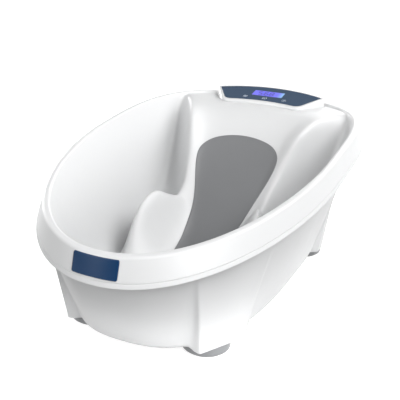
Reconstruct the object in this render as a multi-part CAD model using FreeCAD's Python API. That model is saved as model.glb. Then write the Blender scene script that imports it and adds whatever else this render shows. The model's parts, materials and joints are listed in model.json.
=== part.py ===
import FreeCAD, Part

import math
import os

# Infant bath tub with a built-in digital scale and water thermometer.
# Millimetres, +Z up. X is the width, -Y the foot end, +Y the head end that carries the console.
# The origin lies on the floor under the middle of the tub.

Vector = FreeCAD.Vector
os.makedirs("parts", exist_ok=True)

# ---------------------------------------------------------------- driving dimensions

# Rim crest: an egg in plan, with a fuller head half
CREST_LENGTH = 771.6
CREST_HALF_WIDTH = 246.0
WIDEST_Y = 28.5
FOOT_POWER = 2.1
HEAD_POWER = 3.2

# Height of the rim crest along the tub, a parabola over y
CREST_MID_Z = 286.3
CREST_TILT = 0.1278
CREST_SAG = 0.000161

# Rim land and skirt, measured outwards from the crest and down from it
LAND_INNER = -9.8
LAND_OUTER = 1.5
SKIRT_OUT = 14.2
SKIRT_DROP = 43.5
SEAM_DROP = 35.5
SEAM_GAP = 0.2
WALL = 3.0

# Outer body under the skirt
BODY_TOP_OUT = 2.0
BODY_TOP_DROP = 40.0
BODY_BOTTOM_Z = 22.0
BODY_BOTTOM_HALF_WIDTH = 173.0
BODY_BOTTOM_FOOT_Y = -312.0
BODY_BOTTOM_HEAD_Y = 318.0
BODY_BOTTOM_FOOT_POWER = 2.6
BODY_BOTTOM_HEAD_POWER = 4.0
BODY_BOTTOM_ROUND = 10.0

# Bathing cavity
FLOOR_Z = 50.0
FLOOR_HALF_WIDTH = 165.0
FLOOR_FOOT_Y = -310.0
FLOOR_HEAD_Y = 300.0
DECK_Z = 306.5

# Legs and feet
LEG_BOTTOM_Z = 20.0
LEG_TOP_Z = 185.0
FRONT_FOOT = (111.0, -221.7)
REAR_FOOT = (133.6, 246.4)
FOOT_RADIUS = 42.0
FOOT_GAP = 1.2
FOOT_HANG = 1.0
PAD_RADIUS = 37.0
PAD_HEIGHT = 2.6
PAD_RECESS = 0.6
PAD_CLEARANCE = 0.1
DISC_ROUND = 1.5
BOSS_RADIUS = 10.0
BOSS_CLEARANCE = 1.0
CLIP_RADIUS = 13.4
CLIP_HEIGHT = 2.0
CLIP_GAP = 0.2
CELL_LENGTH = 50.0
CELL_WIDTH = 30.0
CELL_HEIGHT = 2.5
CELL_GAP = 0.2
CELL_RISE = 6.2
CELL_POST_RADIUS = 4.0
CELL_SCREW_SPACING = 38.0
CELL_SCREW_BITE = 5.4
SLOT_WIDTH = 2.0
SLOT_OFFSET = 11.5
SLOT_END = 5.0
SCREW_RADIUS = 1.5
SCREW_CLEARANCE = 0.2
SCREW_HEAD_RADIUS = 3.0
SCREW_HEAD_HEIGHT = 1.8

# Console on the head end: the glass lies in a plane tilted towards the foot end
CONSOLE_LOW_Y = 293.0
CONSOLE_LOW_Z = 312.5
CONSOLE_TILT = 12.0
GLASS_LOW_HALF_WIDTH = 84.5
GLASS_TIP_HALF_WIDTH = 121.5
GLASS_LOW_Y = 288.0
GLASS_ARCH_Y = 298.5
GLASS_TIP_Y = 348.5
GLASS_TOP_Y = 373.0
GLASS_CORNER_ROUND = 18.0
GLASS_TIP_ROUND = 2.5
GLASS_THICKNESS = 1.8
GLASS_LEDGE = 3.0
LEDGE_THICKNESS = 2.0
GLASS_CLEARANCE = 0.2
BEZEL_PROUD = 0.6
BEZEL_BASE_MARGIN = 9.0
BEZEL_HIGH_MARGIN = 3.0
BEZEL_WALL = 3.0
SEAT_Z = 305.0
SEAT_THICKNESS = 5.0
SEAT_SLAB_MARGIN = 10.0
SEAT_CLEARANCE = 0.3
GASKET_HEIGHT = 0.8
GASKET_INSET = 0.5
GASKET_WIDTH = 2.0

CONSOLE_POST_RADIUS = 4.0
CONSOLE_POST_GAP = 0.5
CONSOLE_SCREW_BITE = 5.8
CONSOLE_SCREWS = ((80.0, 307.0), (104.0, 344.0))

LCD_CENTRE_Y = 338.0
LCD_LENGTH = 84.0
LCD_WIDTH = 33.0
LCD_GLASS = 2.2
LCD_GAP = 0.2
BACKLIGHT_HEIGHT = 2.0
BACKLIGHT_LENGTH = 80.0
BACKLIGHT_WIDTH = 30.0
BOARD_DEPTH = 7.0
BOARD_THICKNESS = 1.6
BOARD_INSET = 8.0
BOARD_FOOT_Y = 304.0
BOARD_HEAD_Y = 364.0
BUZZER_RADIUS = 7.0
BUZZER_HEIGHT = 3.4
BUZZER_PLACE = (62.0, 336.0)

KEY_RADIUS = 6.2
KEY_CLEARANCE = 0.4
KEY_PROUD = 0.4
KEY_TRAVEL = 0.5
KEY_FLANGE = 1.5
KEY_FLANGE_HEIGHT = 0.9
KEY_DEPTH = 3.2
KEY_EDGE_ROUND = 0.4
KEY_Y = 312.0
KEY_SPACING = 46.0
SWITCH_SIZE = 6.0
SWITCH_HEIGHT = 2.2
SWITCH_STEM_RADIUS = 1.7
SWITCH_GAP = 0.1

# Battery bay behind a push-on cover in the back of the console
CELL_AAA_RADIUS = 5.25
CELL_AAA_LENGTH = 44.5
CELL_AAA_NUB = 0.8
CELL_AAA_NUB_RADIUS = 1.9
BATTERY_Y = 360.0
BATTERY_PITCH = 46.5
TRAY_WALL = 1.2
TRAY_LIFT = 0.2
TRAY_CLEARANCE = 0.3
TRAY_SIDE = 3.0
CONTACT_THICKNESS = 0.35
CONTACT_HALF_WIDTH = 4.0
DOOR_HALF_WIDTH = 71.0
DOOR_LOW_Z = 306.0
DOOR_HEIGHT = 13.5
DOOR_CLEARANCE = 0.3
DOOR_NOTCH = 1.0

# Small fittings
PAD_SHEET = 2.2
PAD_LIFT = 0.1
BADGE_HALF_WIDTH = 39.5
BADGE_LOW_Z = 178.5
BADGE_HEIGHT = 31.0
BADGE_ROUND = 3.0
BADGE_THICKNESS = 1.6
BADGE_GLUE = 0.1
DRAIN_Y = -235.0
DRAIN_RADIUS = 20.0
DRAIN_WALL = 3.0
DRAIN_GAP = 0.1
PLUG_RADIUS = 17.0
PLUG_HEAD_RADIUS = 26.0
PLUG_HEAD_HEIGHT = 2.4
PLUG_ROUND = 1.5
PLUG_DEPTH = 11.0
PLUG_LIFT = 0.3
GROOVE_DEPTH = 1.5
GROOVE_LOW = 8.0
GROOVE_HIGH = 4.0
GRIP_HALF_LENGTH = 9.0
GRIP_HALF_WIDTH = 2.0
GRIP_HEIGHT = 12.0
RING_CLEARANCE = 0.1
RING_WALL_GAP = 0.3
SENSOR_Y = -120.0
SENSOR_RADIUS = 9.0
SENSOR_STEM = 5.0
SENSOR_CAP = 1.6
SENSOR_ROUND = 0.8
SENSOR_SEAL = 0.8
SENSOR_SEAL_INSET = 0.5
SENSOR_SEAL_GAP = 0.1
SENSOR_STEM_DEPTH = 9.0
SENSOR_NUT_HEIGHT = 4.0
SHELL_BOSS_RADIUS = 3.6
SHELL_BOSS_OUT = 6.3
SHELL_HOLE_DEPTH = 14.0
SHELL_SCREW_BITE = 12.0
SHELL_SCREW_SEAT = 1.6
SHELL_SCREW_ANGLES = (25.0, 65.0, 115.0, 155.0, 205.0, 245.0, 295.0, 335.0)

# Fits shared by several parts
FUSE_SINK = 0.5
SCREW_END_GAP = 0.3
BOSS_HOLE_MARGIN = 1.0

# Construction limits that no finished face lies on
LOW_PLANE = 40.0
SKIRT_PLANE = 100.0
HIGH_PLANE = 345.0
FAR = 600.0
OVERCUT = 5.0
SAME_PLACE = 0.01
CURVE_POINTS = 72
BAND_SPANS = 8

# ---------------------------------------------------------------- seat surface

# Profiles along the tub, as (y, value) pairs
CENTRE_LINE = [(-60, FLOOR_Z), (0, 69), (60, 107), (100, 141), (140, 183), (180, 232),
               (205, 262), (230, 288), (258, 302), (295, DECK_Z), (400, DECK_Z)]
RIDGE_REACH = [(-130, 112), (-60, 120), (-30, 118), (4, 111), (40, 98), (70, 92),
               (100, 92), (140, 100), (180, 116), (220, 135), (260, 154), (320, 183)]
RIDGE_LINE = [(-140, FLOOR_Z), (-115, 66), (-60, 132), (-30, 160), (4, 171.5), (40, 156), (70, 146),
              (100, 161), (140, 202), (180, 258), (200, 280), (240, 301), (300, DECK_Z), (400, DECK_Z)]
POCKET_LINE = [(-60, FLOOR_Z), (0, 58), (80, 85), (160, 130), (220, 185), (260, 235), (290, 280),
               (315, DECK_Z), (400, DECK_Z)]
CHUTE_POWER_LOW = 5.0
CHUTE_POWER_HIGH = 8.0
CHUTE_EASE_START = 20.0
CHUTE_EASE_RUN = 100.0
RIDGE_FALL_LOW = 38.0
RIDGE_FALL_HIGH = 60.0
RIDGE_EASE_START = 40.0
RIDGE_EASE_RUN = 120.0

# Right half of the pad's outline in plan, from its head end to its foot end
PAD_OUTLINE = [(0, 199), (45, 195), (76, 183), (89, 162), (85, 140), (68, 101), (55, 45), (51, 0),
               (51, -50), (42, -84), (0, -98)]
GRID_STEP = 12.5
GRID_HALF_X = 250.0
GRID_HALF_Y = 400.0


def profile(points, y):
    """Monotone cubic curve through (y, value) pairs, level past its ends."""
    if y <= points[0][0]:
        return float(points[0][1])
    if y >= points[-1][0]:
        return float(points[-1][1])
    slopes = [(b[1] - a[1]) / (b[0] - a[0]) for a, b in zip(points, points[1:])]
    tangents = [0.0]
    for before, after in zip(slopes, slopes[1:]):
        product = before * after
        tangents.append(2.0 * product / (before + after) if product > 0.0 else 0.0)
    tangents.append(0.0)
    index = max(i for i in range(len(points) - 1) if points[i][0] <= y)
    (y0, v0), (y1, v1) = points[index], points[index + 1]
    step = y1 - y0
    t = (y - y0) / step
    return ((2 * t ** 3 - 3 * t ** 2 + 1) * v0 + (t ** 3 - 2 * t ** 2 + t) * step * tangents[index]
            + (3 * t ** 2 - 2 * t ** 3) * v1 + (t ** 3 - t ** 2) * step * tangents[index + 1])


def smoothstep(t):
    t = min(max(t, 0.0), 1.0)
    return t * t * (3.0 - 2.0 * t)


def seat_height(x, y):
    """Height of the moulded seat: floor, recliner, side ridges with thigh humps, side pockets."""
    centre = profile(CENTRE_LINE, y)
    ridge = profile(RIDGE_LINE, y)
    reach = profile(RIDGE_REACH, y)
    pocket = profile(POCKET_LINE, y)
    across = abs(x) / reach
    if across <= 1.0:
        ease = smoothstep((y - CHUTE_EASE_START) / CHUTE_EASE_RUN)
        power = CHUTE_POWER_LOW + (CHUTE_POWER_HIGH - CHUTE_POWER_LOW) * ease
        return centre + (ridge - centre) * across ** power * (power + 1.0 - power * across)
    ease = smoothstep((y - RIDGE_EASE_START) / RIDGE_EASE_RUN)
    fall = RIDGE_FALL_LOW + (RIDGE_FALL_HIGH - RIDGE_FALL_LOW) * ease
    return pocket + (ridge - pocket) * (1.0 - smoothstep((abs(x) - reach) / fall))


def seat_underside(x, y):
    """The seat surface moved down far enough to leave the wall thickness along its normal."""
    step = 2.0
    slope_x = (seat_height(x + step, y) - seat_height(x - step, y)) / (2.0 * step)
    slope_y = (seat_height(x, y + step) - seat_height(x, y - step)) / (2.0 * step)
    return seat_height(x, y) - WALL * math.sqrt(1.0 + slope_x ** 2 + slope_y ** 2)


def surface_face(height):
    """B-spline face through a height function on a square grid."""
    columns = int(round(2.0 * GRID_HALF_X / GRID_STEP)) + 1
    rows = int(round(2.0 * GRID_HALF_Y / GRID_STEP)) + 1
    grid = []
    for i in range(columns):
        x = -GRID_HALF_X + i * GRID_STEP
        column = []
        for j in range(rows):
            y = -GRID_HALF_Y + j * GRID_STEP
            column.append(Vector(x, y, height(x, y)))
        grid.append(column)
    surface = Part.BSplineSurface()
    surface.interpolate(grid)
    return surface.toShape()


# ---------------------------------------------------------------- egg sections and walls


def crest_z(y):
    return CREST_MID_Z + CREST_TILT * y - CREST_SAG * y * y


def egg_point(angle, half_width, foot_y, head_y, foot_power=FOOT_POWER, head_power=HEAD_POWER):
    """Point of a two-power superellipse at a polar angle about (0, WIDEST_Y)."""
    cosine = math.cos(angle)
    sine = math.sin(angle)
    length, power = (head_y - WIDEST_Y, head_power) if sine >= 0.0 else (WIDEST_Y - foot_y, foot_power)
    radius = (abs(cosine / half_width) ** power + abs(sine / length) ** power) ** (-1.0 / power)
    return radius * cosine, WIDEST_Y + radius * sine


def crest_point(angle, out):
    """Plan point of the crest egg grown outwards by out."""
    return egg_point(angle, CREST_HALF_WIDTH + out, -CREST_LENGTH / 2.0 - out, CREST_LENGTH / 2.0 + out)


def closed_curve(points):
    curve = Part.BSplineCurve()
    curve.interpolate(points, True)
    return Part.Wire([curve.toShape()])


def wall_solid(lower, upper, low_z, high_z):
    """Solid inside a ruled wall. lower and upper give (x, y, z) of the wall's two guide curves
    at an angle, and the wall is carried on in a straight line to the level planes."""
    sections = []
    for z in (low_z, high_z):
        points = []
        for k in range(CURVE_POINTS):
            angle = 2.0 * math.pi * (k + 0.5) / CURVE_POINTS
            x0, y0, z0 = lower(angle)
            x1, y1, z1 = upper(angle)
            s = (z - z0) / (z1 - z0)
            points.append(Vector(x0 + (x1 - x0) * s, y0 + (y1 - y0) * s, z))
        sections.append(closed_curve(points))
    return Part.makeLoft(sections, True, True)


def crest_guide(out, drop):
    def guide(angle):
        x, y = crest_point(angle, out)
        return x, y, crest_z(y) - drop
    return guide


def level_guide(half_width, foot_y, head_y, z, foot_power=FOOT_POWER, head_power=HEAD_POWER):
    def guide(angle):
        x, y = egg_point(angle, half_width, foot_y, head_y, foot_power, head_power)
        return x, y, z
    return guide


def skirt_solid(inset):
    upper = crest_guide(LAND_OUTER - inset, 0.0)
    lower = crest_guide(SKIRT_OUT - inset, SKIRT_DROP)
    return wall_solid(lower, upper, SKIRT_PLANE, HIGH_PLANE)


def body_solid(inset):
    upper = crest_guide(BODY_TOP_OUT - inset, BODY_TOP_DROP)
    lower = level_guide(BODY_BOTTOM_HALF_WIDTH - inset, BODY_BOTTOM_FOOT_Y + inset,
                        BODY_BOTTOM_HEAD_Y - inset, BODY_BOTTOM_Z,
                        BODY_BOTTOM_FOOT_POWER, BODY_BOTTOM_HEAD_POWER)
    return wall_solid(lower, upper, BODY_BOTTOM_Z + inset, HIGH_PLANE)


def cavity_solid(grow):
    upper = crest_guide(LAND_INNER + grow, 0.0)
    lower = level_guide(FLOOR_HALF_WIDTH + grow, FLOOR_FOOT_Y - grow, FLOOR_HEAD_Y + grow, FLOOR_Z)
    return wall_solid(lower, upper, LOW_PLANE, HIGH_PLANE)


def crest_band(low_drop, high_drop):
    """Everything between two curved sheets that run parallel to the crest, as drops below it."""
    def edge(drop):
        points = []
        for k in range(BAND_SPANS + 1):
            y = -FAR + 2.0 * FAR * k / BAND_SPANS
            points.append(Vector(-FAR, y, crest_z(y) - drop))
        curve = Part.BSplineCurve()
        curve.interpolate(points)
        return curve.toShape(), points[0], points[-1]
    top, top_foot, top_head = edge(high_drop)
    if low_drop is None:
        low_foot = Vector(-FAR, -FAR, -FAR)
        low_head = Vector(-FAR, FAR, -FAR)
        low = Part.makeLine(low_foot, low_head)
    else:
        low, low_foot, low_head = edge(low_drop)
    wire = Part.Wire([low, Part.makeLine(low_head, top_head), top, Part.makeLine(top_foot, low_foot)])
    return Part.Face(wire).extrude(Vector(2.0 * FAR, 0, 0))


# ---------------------------------------------------------------- general helpers


def cylinder(radius, x, y, z_low, z_high):
    return Part.makeCylinder(radius, z_high - z_low, Vector(x, y, z_low))


def ring(outer, inner, x, y, z_low, z_high):
    hole = cylinder(inner, x, y, z_low - OVERCUT, z_high + OVERCUT)
    return cylinder(outer, x, y, z_low, z_high).cut(hole)


def box(x0, x1, y0, y1, z0, z1):
    return Part.makeBox(x1 - x0, y1 - y0, z1 - z0, Vector(x0, y0, z0))


def one_solid(shape):
    """The main solid of a boolean result."""
    return max(shape.Solids, key=lambda solid: solid.Volume)


def save(name, shape):
    shape.exportStep("parts/" + name + ".step")


# ---------------------------------------------------------------- console frame

TILT = math.radians(CONSOLE_TILT)


def console_z(y):
    return CONSOLE_LOW_Z + math.tan(TILT) * (y - CONSOLE_LOW_Y)


def on_console(shape):
    """Carry a shape from the level frame, glass top at z = 0, into the tilted console frame."""
    placed = shape.copy()
    placed.rotate(Vector(0, 0, 0), Vector(1, 0, 0), CONSOLE_TILT)
    placed.translate(Vector(0, CONSOLE_LOW_Y, CONSOLE_LOW_Z))
    return placed


def along(y):
    """Distance up the tilted glass from its datum to the line above plan y."""
    return (y - CONSOLE_LOW_Y) / math.cos(TILT)


def console_layer(low, high):
    """Slab parallel to the glass between two heights above its top face."""
    return on_console(box(-FAR, FAR, -FAR, FAR, low, high))


def console_wire(margin, z):
    """Plan outline of the glass, grown by margin: arched foot edge between round corners,
    slanted sides up to two pointed tips, and an arched head edge."""
    foot_left = Vector(-GLASS_LOW_HALF_WIDTH, GLASS_LOW_Y, z)
    foot_right = Vector(GLASS_LOW_HALF_WIDTH, GLASS_LOW_Y, z)
    tip_left = Vector(-GLASS_TIP_HALF_WIDTH, GLASS_TIP_Y, z)
    tip_right = Vector(GLASS_TIP_HALF_WIDTH, GLASS_TIP_Y, z)
    foot_arch = Part.Arc(foot_left, Vector(0, GLASS_ARCH_Y, z), foot_right).toShape()
    head_arch = Part.Arc(tip_right, Vector(0, GLASS_TOP_Y, z), tip_left).toShape()
    outline = Part.Wire([foot_arch, Part.makeLine(foot_right, tip_right), head_arch,
                         Part.makeLine(tip_left, foot_left)])
    height = 1.0
    plate = Part.Face(outline).extrude(Vector(0, 0, height))
    for radius, corner_y in ((GLASS_CORNER_ROUND, GLASS_LOW_Y), (GLASS_TIP_ROUND, GLASS_TIP_Y)):
        edges = [edge for edge in plate.Edges
                 if abs(edge.Length - height) < SAME_PLACE
                 and abs(edge.CenterOfMass.y - corner_y) < SAME_PLACE]
        plate = plate.makeFillet(radius, edges)
    base = min(plate.Faces, key=lambda face: face.CenterOfMass.z)
    return base.OuterWire if margin == 0.0 else base.OuterWire.makeOffset2D(margin)


def console_prism(margin, z_low, z_high):
    return Part.Face(console_wire(margin, z_low)).extrude(Vector(0, 0, z_high - z_low))


def console_shell_solid(inset):
    """Outside of the bezel: drafted sides that lean in from its base upwards."""
    return Part.makeLoft([console_wire(BEZEL_BASE_MARGIN - inset, SEAT_Z),
                          console_wire(BEZEL_HIGH_MARGIN - inset, HIGH_PLANE)], True, True)


# ---------------------------------------------------------------- tub shells

SKIRT = skirt_solid(0.0)
SKIRT_INSIDE = skirt_solid(WALL)
CAVITY_WALL = cavity_solid(0.0)
CAVITY_SKIN = cavity_solid(WALL)
SEAT_FACE = surface_face(seat_height)
SEAT_UNDER_FACE = surface_face(seat_underside)
UP = Vector(0, 0, FAR)


def shell_screw_points():
    for degrees in SHELL_SCREW_ANGLES:
        x, y = crest_point(math.radians(degrees), SHELL_BOSS_OUT)
        yield x, y, crest_z(y)


def make_inner_tub():
    top_plate = SKIRT.common(crest_band(SEAM_DROP, 0.0))
    hollow = SKIRT_INSIDE.common(crest_band(SEAM_DROP + OVERCUT, WALL))
    bosses = []
    for x, y, z in shell_screw_points():
        bosses.append(cylinder(SHELL_BOSS_RADIUS, x, y, z - BODY_TOP_DROP, z))
    hollow = hollow.cut(bosses)
    rim = top_plate.cut(hollow)
    skin = CAVITY_SKIN.common(crest_band(None, 0.0)).common(SEAT_UNDER_FACE.extrude(UP))
    seat_slab = console_prism(SEAT_SLAB_MARGIN, SEAT_Z - SEAT_THICKNESS, SEAT_Z)
    tub = rim.fuse([skin])
    tub = tub.cut(CAVITY_WALL.common(SEAT_FACE.extrude(UP)))
    tub = tub.fuse([seat_slab.common(SKIRT)])
    recess = console_prism(BEZEL_BASE_MARGIN + SEAT_CLEARANCE, SEAT_Z, HIGH_PLANE)
    notch = box(-DOOR_HALF_WIDTH - DOOR_NOTCH, DOOR_HALF_WIDTH + DOOR_NOTCH, GLASS_TIP_Y, FAR,
                SEAT_Z + SEAT_CLEARANCE, HIGH_PLANE)
    tub = tub.cut(recess).cut(notch)
    cuts = [cylinder(DRAIN_RADIUS, 0, DRAIN_Y, 0, FLOOR_Z + OVERCUT)]
    cuts.append(cylinder(SENSOR_STEM + SCREW_CLEARANCE, 0, SENSOR_Y, 0, FLOOR_Z + OVERCUT))
    for x, y in console_screw_points():
        cuts.append(cylinder(SCREW_RADIUS + SCREW_CLEARANCE, x, y, SEAT_Z - SEAT_THICKNESS - OVERCUT,
                             SEAT_Z + OVERCUT))
    for x, y, z in shell_screw_points():
        hole_top = z - BODY_TOP_DROP + SHELL_HOLE_DEPTH
        cuts.append(cylinder(SCREW_RADIUS, x, y, z - SKIRT_DROP - OVERCUT, hole_top))
    return one_solid(tub.cut(cuts))


# Leg footprints as (x, y) corners at the bottom and at the top, on the +X side
FRONT_LEG = ([(77, -267), (127, -282.5), (159.5, -222.5), (166.5, -171.5), (140, -155), (72, -178)],
             [(72, -290), (136, -321), (171.5, -255), (200, -187), (150, -150), (70, -170)])
REAR_LEG = ([(88, 214), (150, 196), (180, 208), (181, 240), (150, 298), (96, 300)],
            [(88, 203), (150, 177), (208, 199), (202, 240), (169, 303), (98, 321)])


def leg_solid(leg, side, inset):
    wires = []
    for corners, z in ((leg[0], LEG_BOTTOM_Z + inset), (leg[1], LEG_TOP_Z)):
        points = [Vector(side * x, y, z) for x, y in corners]
        wire = Part.makePolygon(points + [points[0]])
        if inset:
            wire = wire.makeOffset2D(-inset)
        wires.append(wire)
    return Part.makeLoft(wires, True, True)


def feet():
    """Name and place of each foot."""
    for end, (x, y) in (("front", FRONT_FOOT), ("rear", REAR_FOOT)):
        for side, sign in (("left", -1.0), ("right", 1.0)):
            yield end + "_" + side, (sign * x, y)


PLATE_TOP = LEG_BOTTOM_Z + WALL
CELL_Z = PLATE_TOP + CELL_RISE


def cell_screw_points():
    for _, (x, y) in feet():
        for offset in (-CELL_SCREW_SPACING / 2.0, CELL_SCREW_SPACING / 2.0):
            yield x + offset, y


def make_outer_shell():
    body = body_solid(0.0)
    rim_edge = min(body.Edges, key=lambda edge: edge.CenterOfMass.z)
    body = body.makeFillet(BODY_BOTTOM_ROUND, [rim_edge])
    body = body.common(crest_band(None, SEAM_DROP + 1.0))
    flange = SKIRT.common(crest_band(SKIRT_DROP, SEAM_DROP + SEAM_GAP))
    flange = flange.cut(SKIRT_INSIDE.common(crest_band(SKIRT_DROP - WALL, SEAM_DROP - OVERCUT)))
    legs = []
    hollows = [body_solid(WALL)]
    for leg in (FRONT_LEG, REAR_LEG):
        for side in (-1.0, 1.0):
            legs.append(leg_solid(leg, side, 0.0))
            hollows.append(leg_solid(leg, side, WALL))
    shell = body.fuse([flange] + legs)
    shell = shell.cut(hollows)
    posts = []
    for x, y in cell_screw_points():
        posts.append(cylinder(CELL_POST_RADIUS, x, y, PLATE_TOP - FUSE_SINK, CELL_Z))
    shell = shell.fuse(posts)
    cuts = [cylinder(DRAIN_RADIUS, 0, DRAIN_Y, 0, BODY_BOTTOM_Z + OVERCUT)]
    for _, (x, y) in feet():
        cuts.append(cylinder(BOSS_RADIUS + BOSS_CLEARANCE, x, y, 0, CELL_Z - BOSS_HOLE_MARGIN))
    for x, y in cell_screw_points():
        cuts.append(cylinder(SCREW_RADIUS, x, y, CELL_Z - CELL_SCREW_BITE - SCREW_END_GAP, CELL_Z + OVERCUT))
    for x, y, z in shell_screw_points():
        cuts.append(cylinder(SCREW_RADIUS + SCREW_CLEARANCE, x, y, z - SKIRT_DROP - OVERCUT,
                             z - SEAM_DROP))
    return one_solid(shell.cut(cuts))


def shell_screws():
    screws = []
    for x, y, z in shell_screw_points():
        seat = z - SKIRT_DROP - SHELL_SCREW_SEAT
        screw = cylinder(SCREW_RADIUS, x, y, seat, z - BODY_TOP_DROP + SHELL_SCREW_BITE)
        screws.append(screw.fuse(cylinder(SCREW_HEAD_RADIUS, x, y, seat - SCREW_HEAD_HEIGHT, seat)))
    return Part.makeCompound(screws)


# ---------------------------------------------------------------- feet and load cells


def make_foot_disc(x, y):
    top = LEG_BOTTOM_Z - FOOT_GAP
    low = PAD_HEIGHT - PAD_RECESS
    disc = cylinder(FOOT_RADIUS, x, y, low, top)
    rims = [edge for edge in disc.Edges if edge.Length > 2.0 * math.pi * PAD_RADIUS]
    disc = disc.makeFillet(DISC_ROUND, rims)
    disc = disc.cut(cylinder(PAD_RADIUS + PAD_CLEARANCE, x, y, 0, PAD_HEIGHT))
    return disc.fuse(cylinder(BOSS_RADIUS, x, y, top - FUSE_SINK, CELL_Z - CELL_GAP)).removeSplitter()


def make_load_cell(x, y):
    """Beam with the slots that let its middle tongue bend against the two screwed ends."""
    plate = box(x - CELL_LENGTH / 2, x + CELL_LENGTH / 2, y - CELL_WIDTH / 2, y + CELL_WIDTH / 2,
                CELL_Z, CELL_Z + CELL_HEIGHT)
    cuts = []
    for side in (-1.0, 1.0):
        slot_x = x + side * SLOT_OFFSET
        cuts.append(box(slot_x - SLOT_WIDTH / 2, slot_x + SLOT_WIDTH / 2, y - CELL_WIDTH / 2 + SLOT_END,
                        y + CELL_WIDTH / 2 + OVERCUT, 0, CELL_Z + OVERCUT))
        cuts.append(cylinder(SCREW_RADIUS + SCREW_CLEARANCE, x + side * CELL_SCREW_SPACING / 2, y,
                             0, CELL_Z + OVERCUT))
    return plate.cut(cuts)


def cell_screws():
    screws = []
    for x, y in cell_screw_points():
        seat = CELL_Z + CELL_HEIGHT
        screw = cylinder(SCREW_RADIUS, x, y, CELL_Z - CELL_SCREW_BITE, seat)
        screws.append(screw.fuse(cylinder(SCREW_HEAD_RADIUS, x, y, seat, seat + SCREW_HEAD_HEIGHT)))
    return Part.makeCompound(screws)


# ---------------------------------------------------------------- console parts


def console_screw_points():
    for x, y in CONSOLE_SCREWS:
        yield -x, y
        yield x, y


def make_console_housing():
    shell = console_shell_solid(0.0).common(console_layer(-FAR, BEZEL_PROUD))
    room = console_shell_solid(BEZEL_WALL).common(console_layer(-FAR, -GLASS_THICKNESS - LEDGE_THICKNESS))
    pocket = console_prism(GLASS_CLEARANCE, SEAT_Z, HIGH_PLANE)
    pocket = pocket.common(console_layer(-GLASS_THICKNESS, OVERCUT))
    window = console_prism(-GLASS_LEDGE, SEAT_Z, HIGH_PLANE)
    housing = shell.cut([room, pocket, window])
    posts = []
    for x, y in console_screw_points():
        post_top = console_z(y) - GLASS_THICKNESS - CONSOLE_POST_GAP
        posts.append(cylinder(CONSOLE_POST_RADIUS, x, y, SEAT_Z, post_top))
    housing = housing.fuse(posts)
    base = SEAT_Z + GASKET_HEIGHT
    cuts = [box(-FAR, FAR, 0, FAR, 0, base)]
    for x, y in console_screw_points():
        cuts.append(cylinder(SCREW_RADIUS, x, y, 0, SEAT_Z + CONSOLE_SCREW_BITE + SCREW_END_GAP))
    cuts.append(door_block(0.0))
    return one_solid(housing.cut(cuts))


def door_block(clearance):
    return box(-DOOR_HALF_WIDTH + clearance, DOOR_HALF_WIDTH - clearance, GLASS_TIP_Y, FAR,
               DOOR_LOW_Z + clearance, DOOR_LOW_Z + DOOR_HEIGHT - clearance)


def make_battery_door():
    wall = console_shell_solid(0.0).cut(console_shell_solid(BEZEL_WALL))
    return one_solid(wall.common(door_block(DOOR_CLEARANCE)))


def make_console_gasket():
    outer = console_prism(BEZEL_BASE_MARGIN - GASKET_INSET, SEAT_Z, SEAT_Z + GASKET_HEIGHT)
    inner = console_prism(BEZEL_BASE_MARGIN - GASKET_INSET - GASKET_WIDTH, SEAT_Z, SEAT_Z + GASKET_HEIGHT)
    return outer.cut(inner)


def key_points():
    for name, x in (("left", -KEY_SPACING), ("middle", 0.0), ("right", KEY_SPACING)):
        yield name, (x, along(KEY_Y))


def make_console_panel():
    panel = console_prism(0.0, SEAT_Z, HIGH_PLANE).common(console_layer(-GLASS_THICKNESS, 0.0))
    holes = []
    for _, (x, v) in key_points():
        holes.append(on_console(cylinder(KEY_RADIUS + KEY_CLEARANCE, x, v, -OVERCUT, OVERCUT)))
    return one_solid(panel.cut(holes))


def make_key(x, v):
    cap = cylinder(KEY_RADIUS, x, v, -KEY_DEPTH, KEY_PROUD)
    top_edge = [edge for edge in cap.Edges if abs(edge.CenterOfMass.z - KEY_PROUD) < SAME_PLACE]
    cap = cap.makeFillet(KEY_EDGE_ROUND, top_edge)
    flange = cylinder(KEY_RADIUS + KEY_FLANGE, x, v, -KEY_DEPTH, -KEY_DEPTH + KEY_FLANGE_HEIGHT)
    return on_console(cap.fuse(flange).removeSplitter())


def make_key_switches():
    switches = []
    half = SWITCH_SIZE / 2.0
    for _, (x, v) in key_points():
        body = box(x - half, x + half, v - half, v + half, -BOARD_DEPTH, -BOARD_DEPTH + SWITCH_HEIGHT)
        stem = cylinder(SWITCH_STEM_RADIUS, x, v, -BOARD_DEPTH, -KEY_DEPTH - KEY_TRAVEL - SWITCH_GAP)
        switches.append(on_console(body.fuse(stem)))
    return Part.makeCompound(switches)


def lcd_plate(length, width, low, high):
    v = along(LCD_CENTRE_Y)
    return on_console(box(-length / 2, length / 2, v - width / 2, v + width / 2, low, high))


LCD_TOP = -GLASS_THICKNESS - LCD_GAP


def make_console_board():
    board = console_prism(-BOARD_INSET, SEAT_Z, HIGH_PLANE)
    board = board.common(console_layer(-BOARD_DEPTH - BOARD_THICKNESS, -BOARD_DEPTH))
    board = board.common(box(-FAR, FAR, BOARD_FOOT_Y, BOARD_HEAD_Y, 0, HIGH_PLANE))
    hole_radius = CONSOLE_POST_RADIUS + TRAY_CLEARANCE
    holes = [cylinder(hole_radius, x, y, 0, HIGH_PLANE) for x, y in console_screw_points()]
    return one_solid(board.cut(holes))


def make_buzzer():
    x, y = BUZZER_PLACE
    return on_console(cylinder(BUZZER_RADIUS, x, along(y), -BOARD_DEPTH, -BOARD_DEPTH + BUZZER_HEIGHT))


TRAY_Z = SEAT_Z + TRAY_LIFT
BATTERY_Z = TRAY_Z + TRAY_WALL + TRAY_CLEARANCE + CELL_AAA_RADIUS


def battery_points():
    for index in (-1, 0, 1):
        yield index * BATTERY_PITCH


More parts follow.
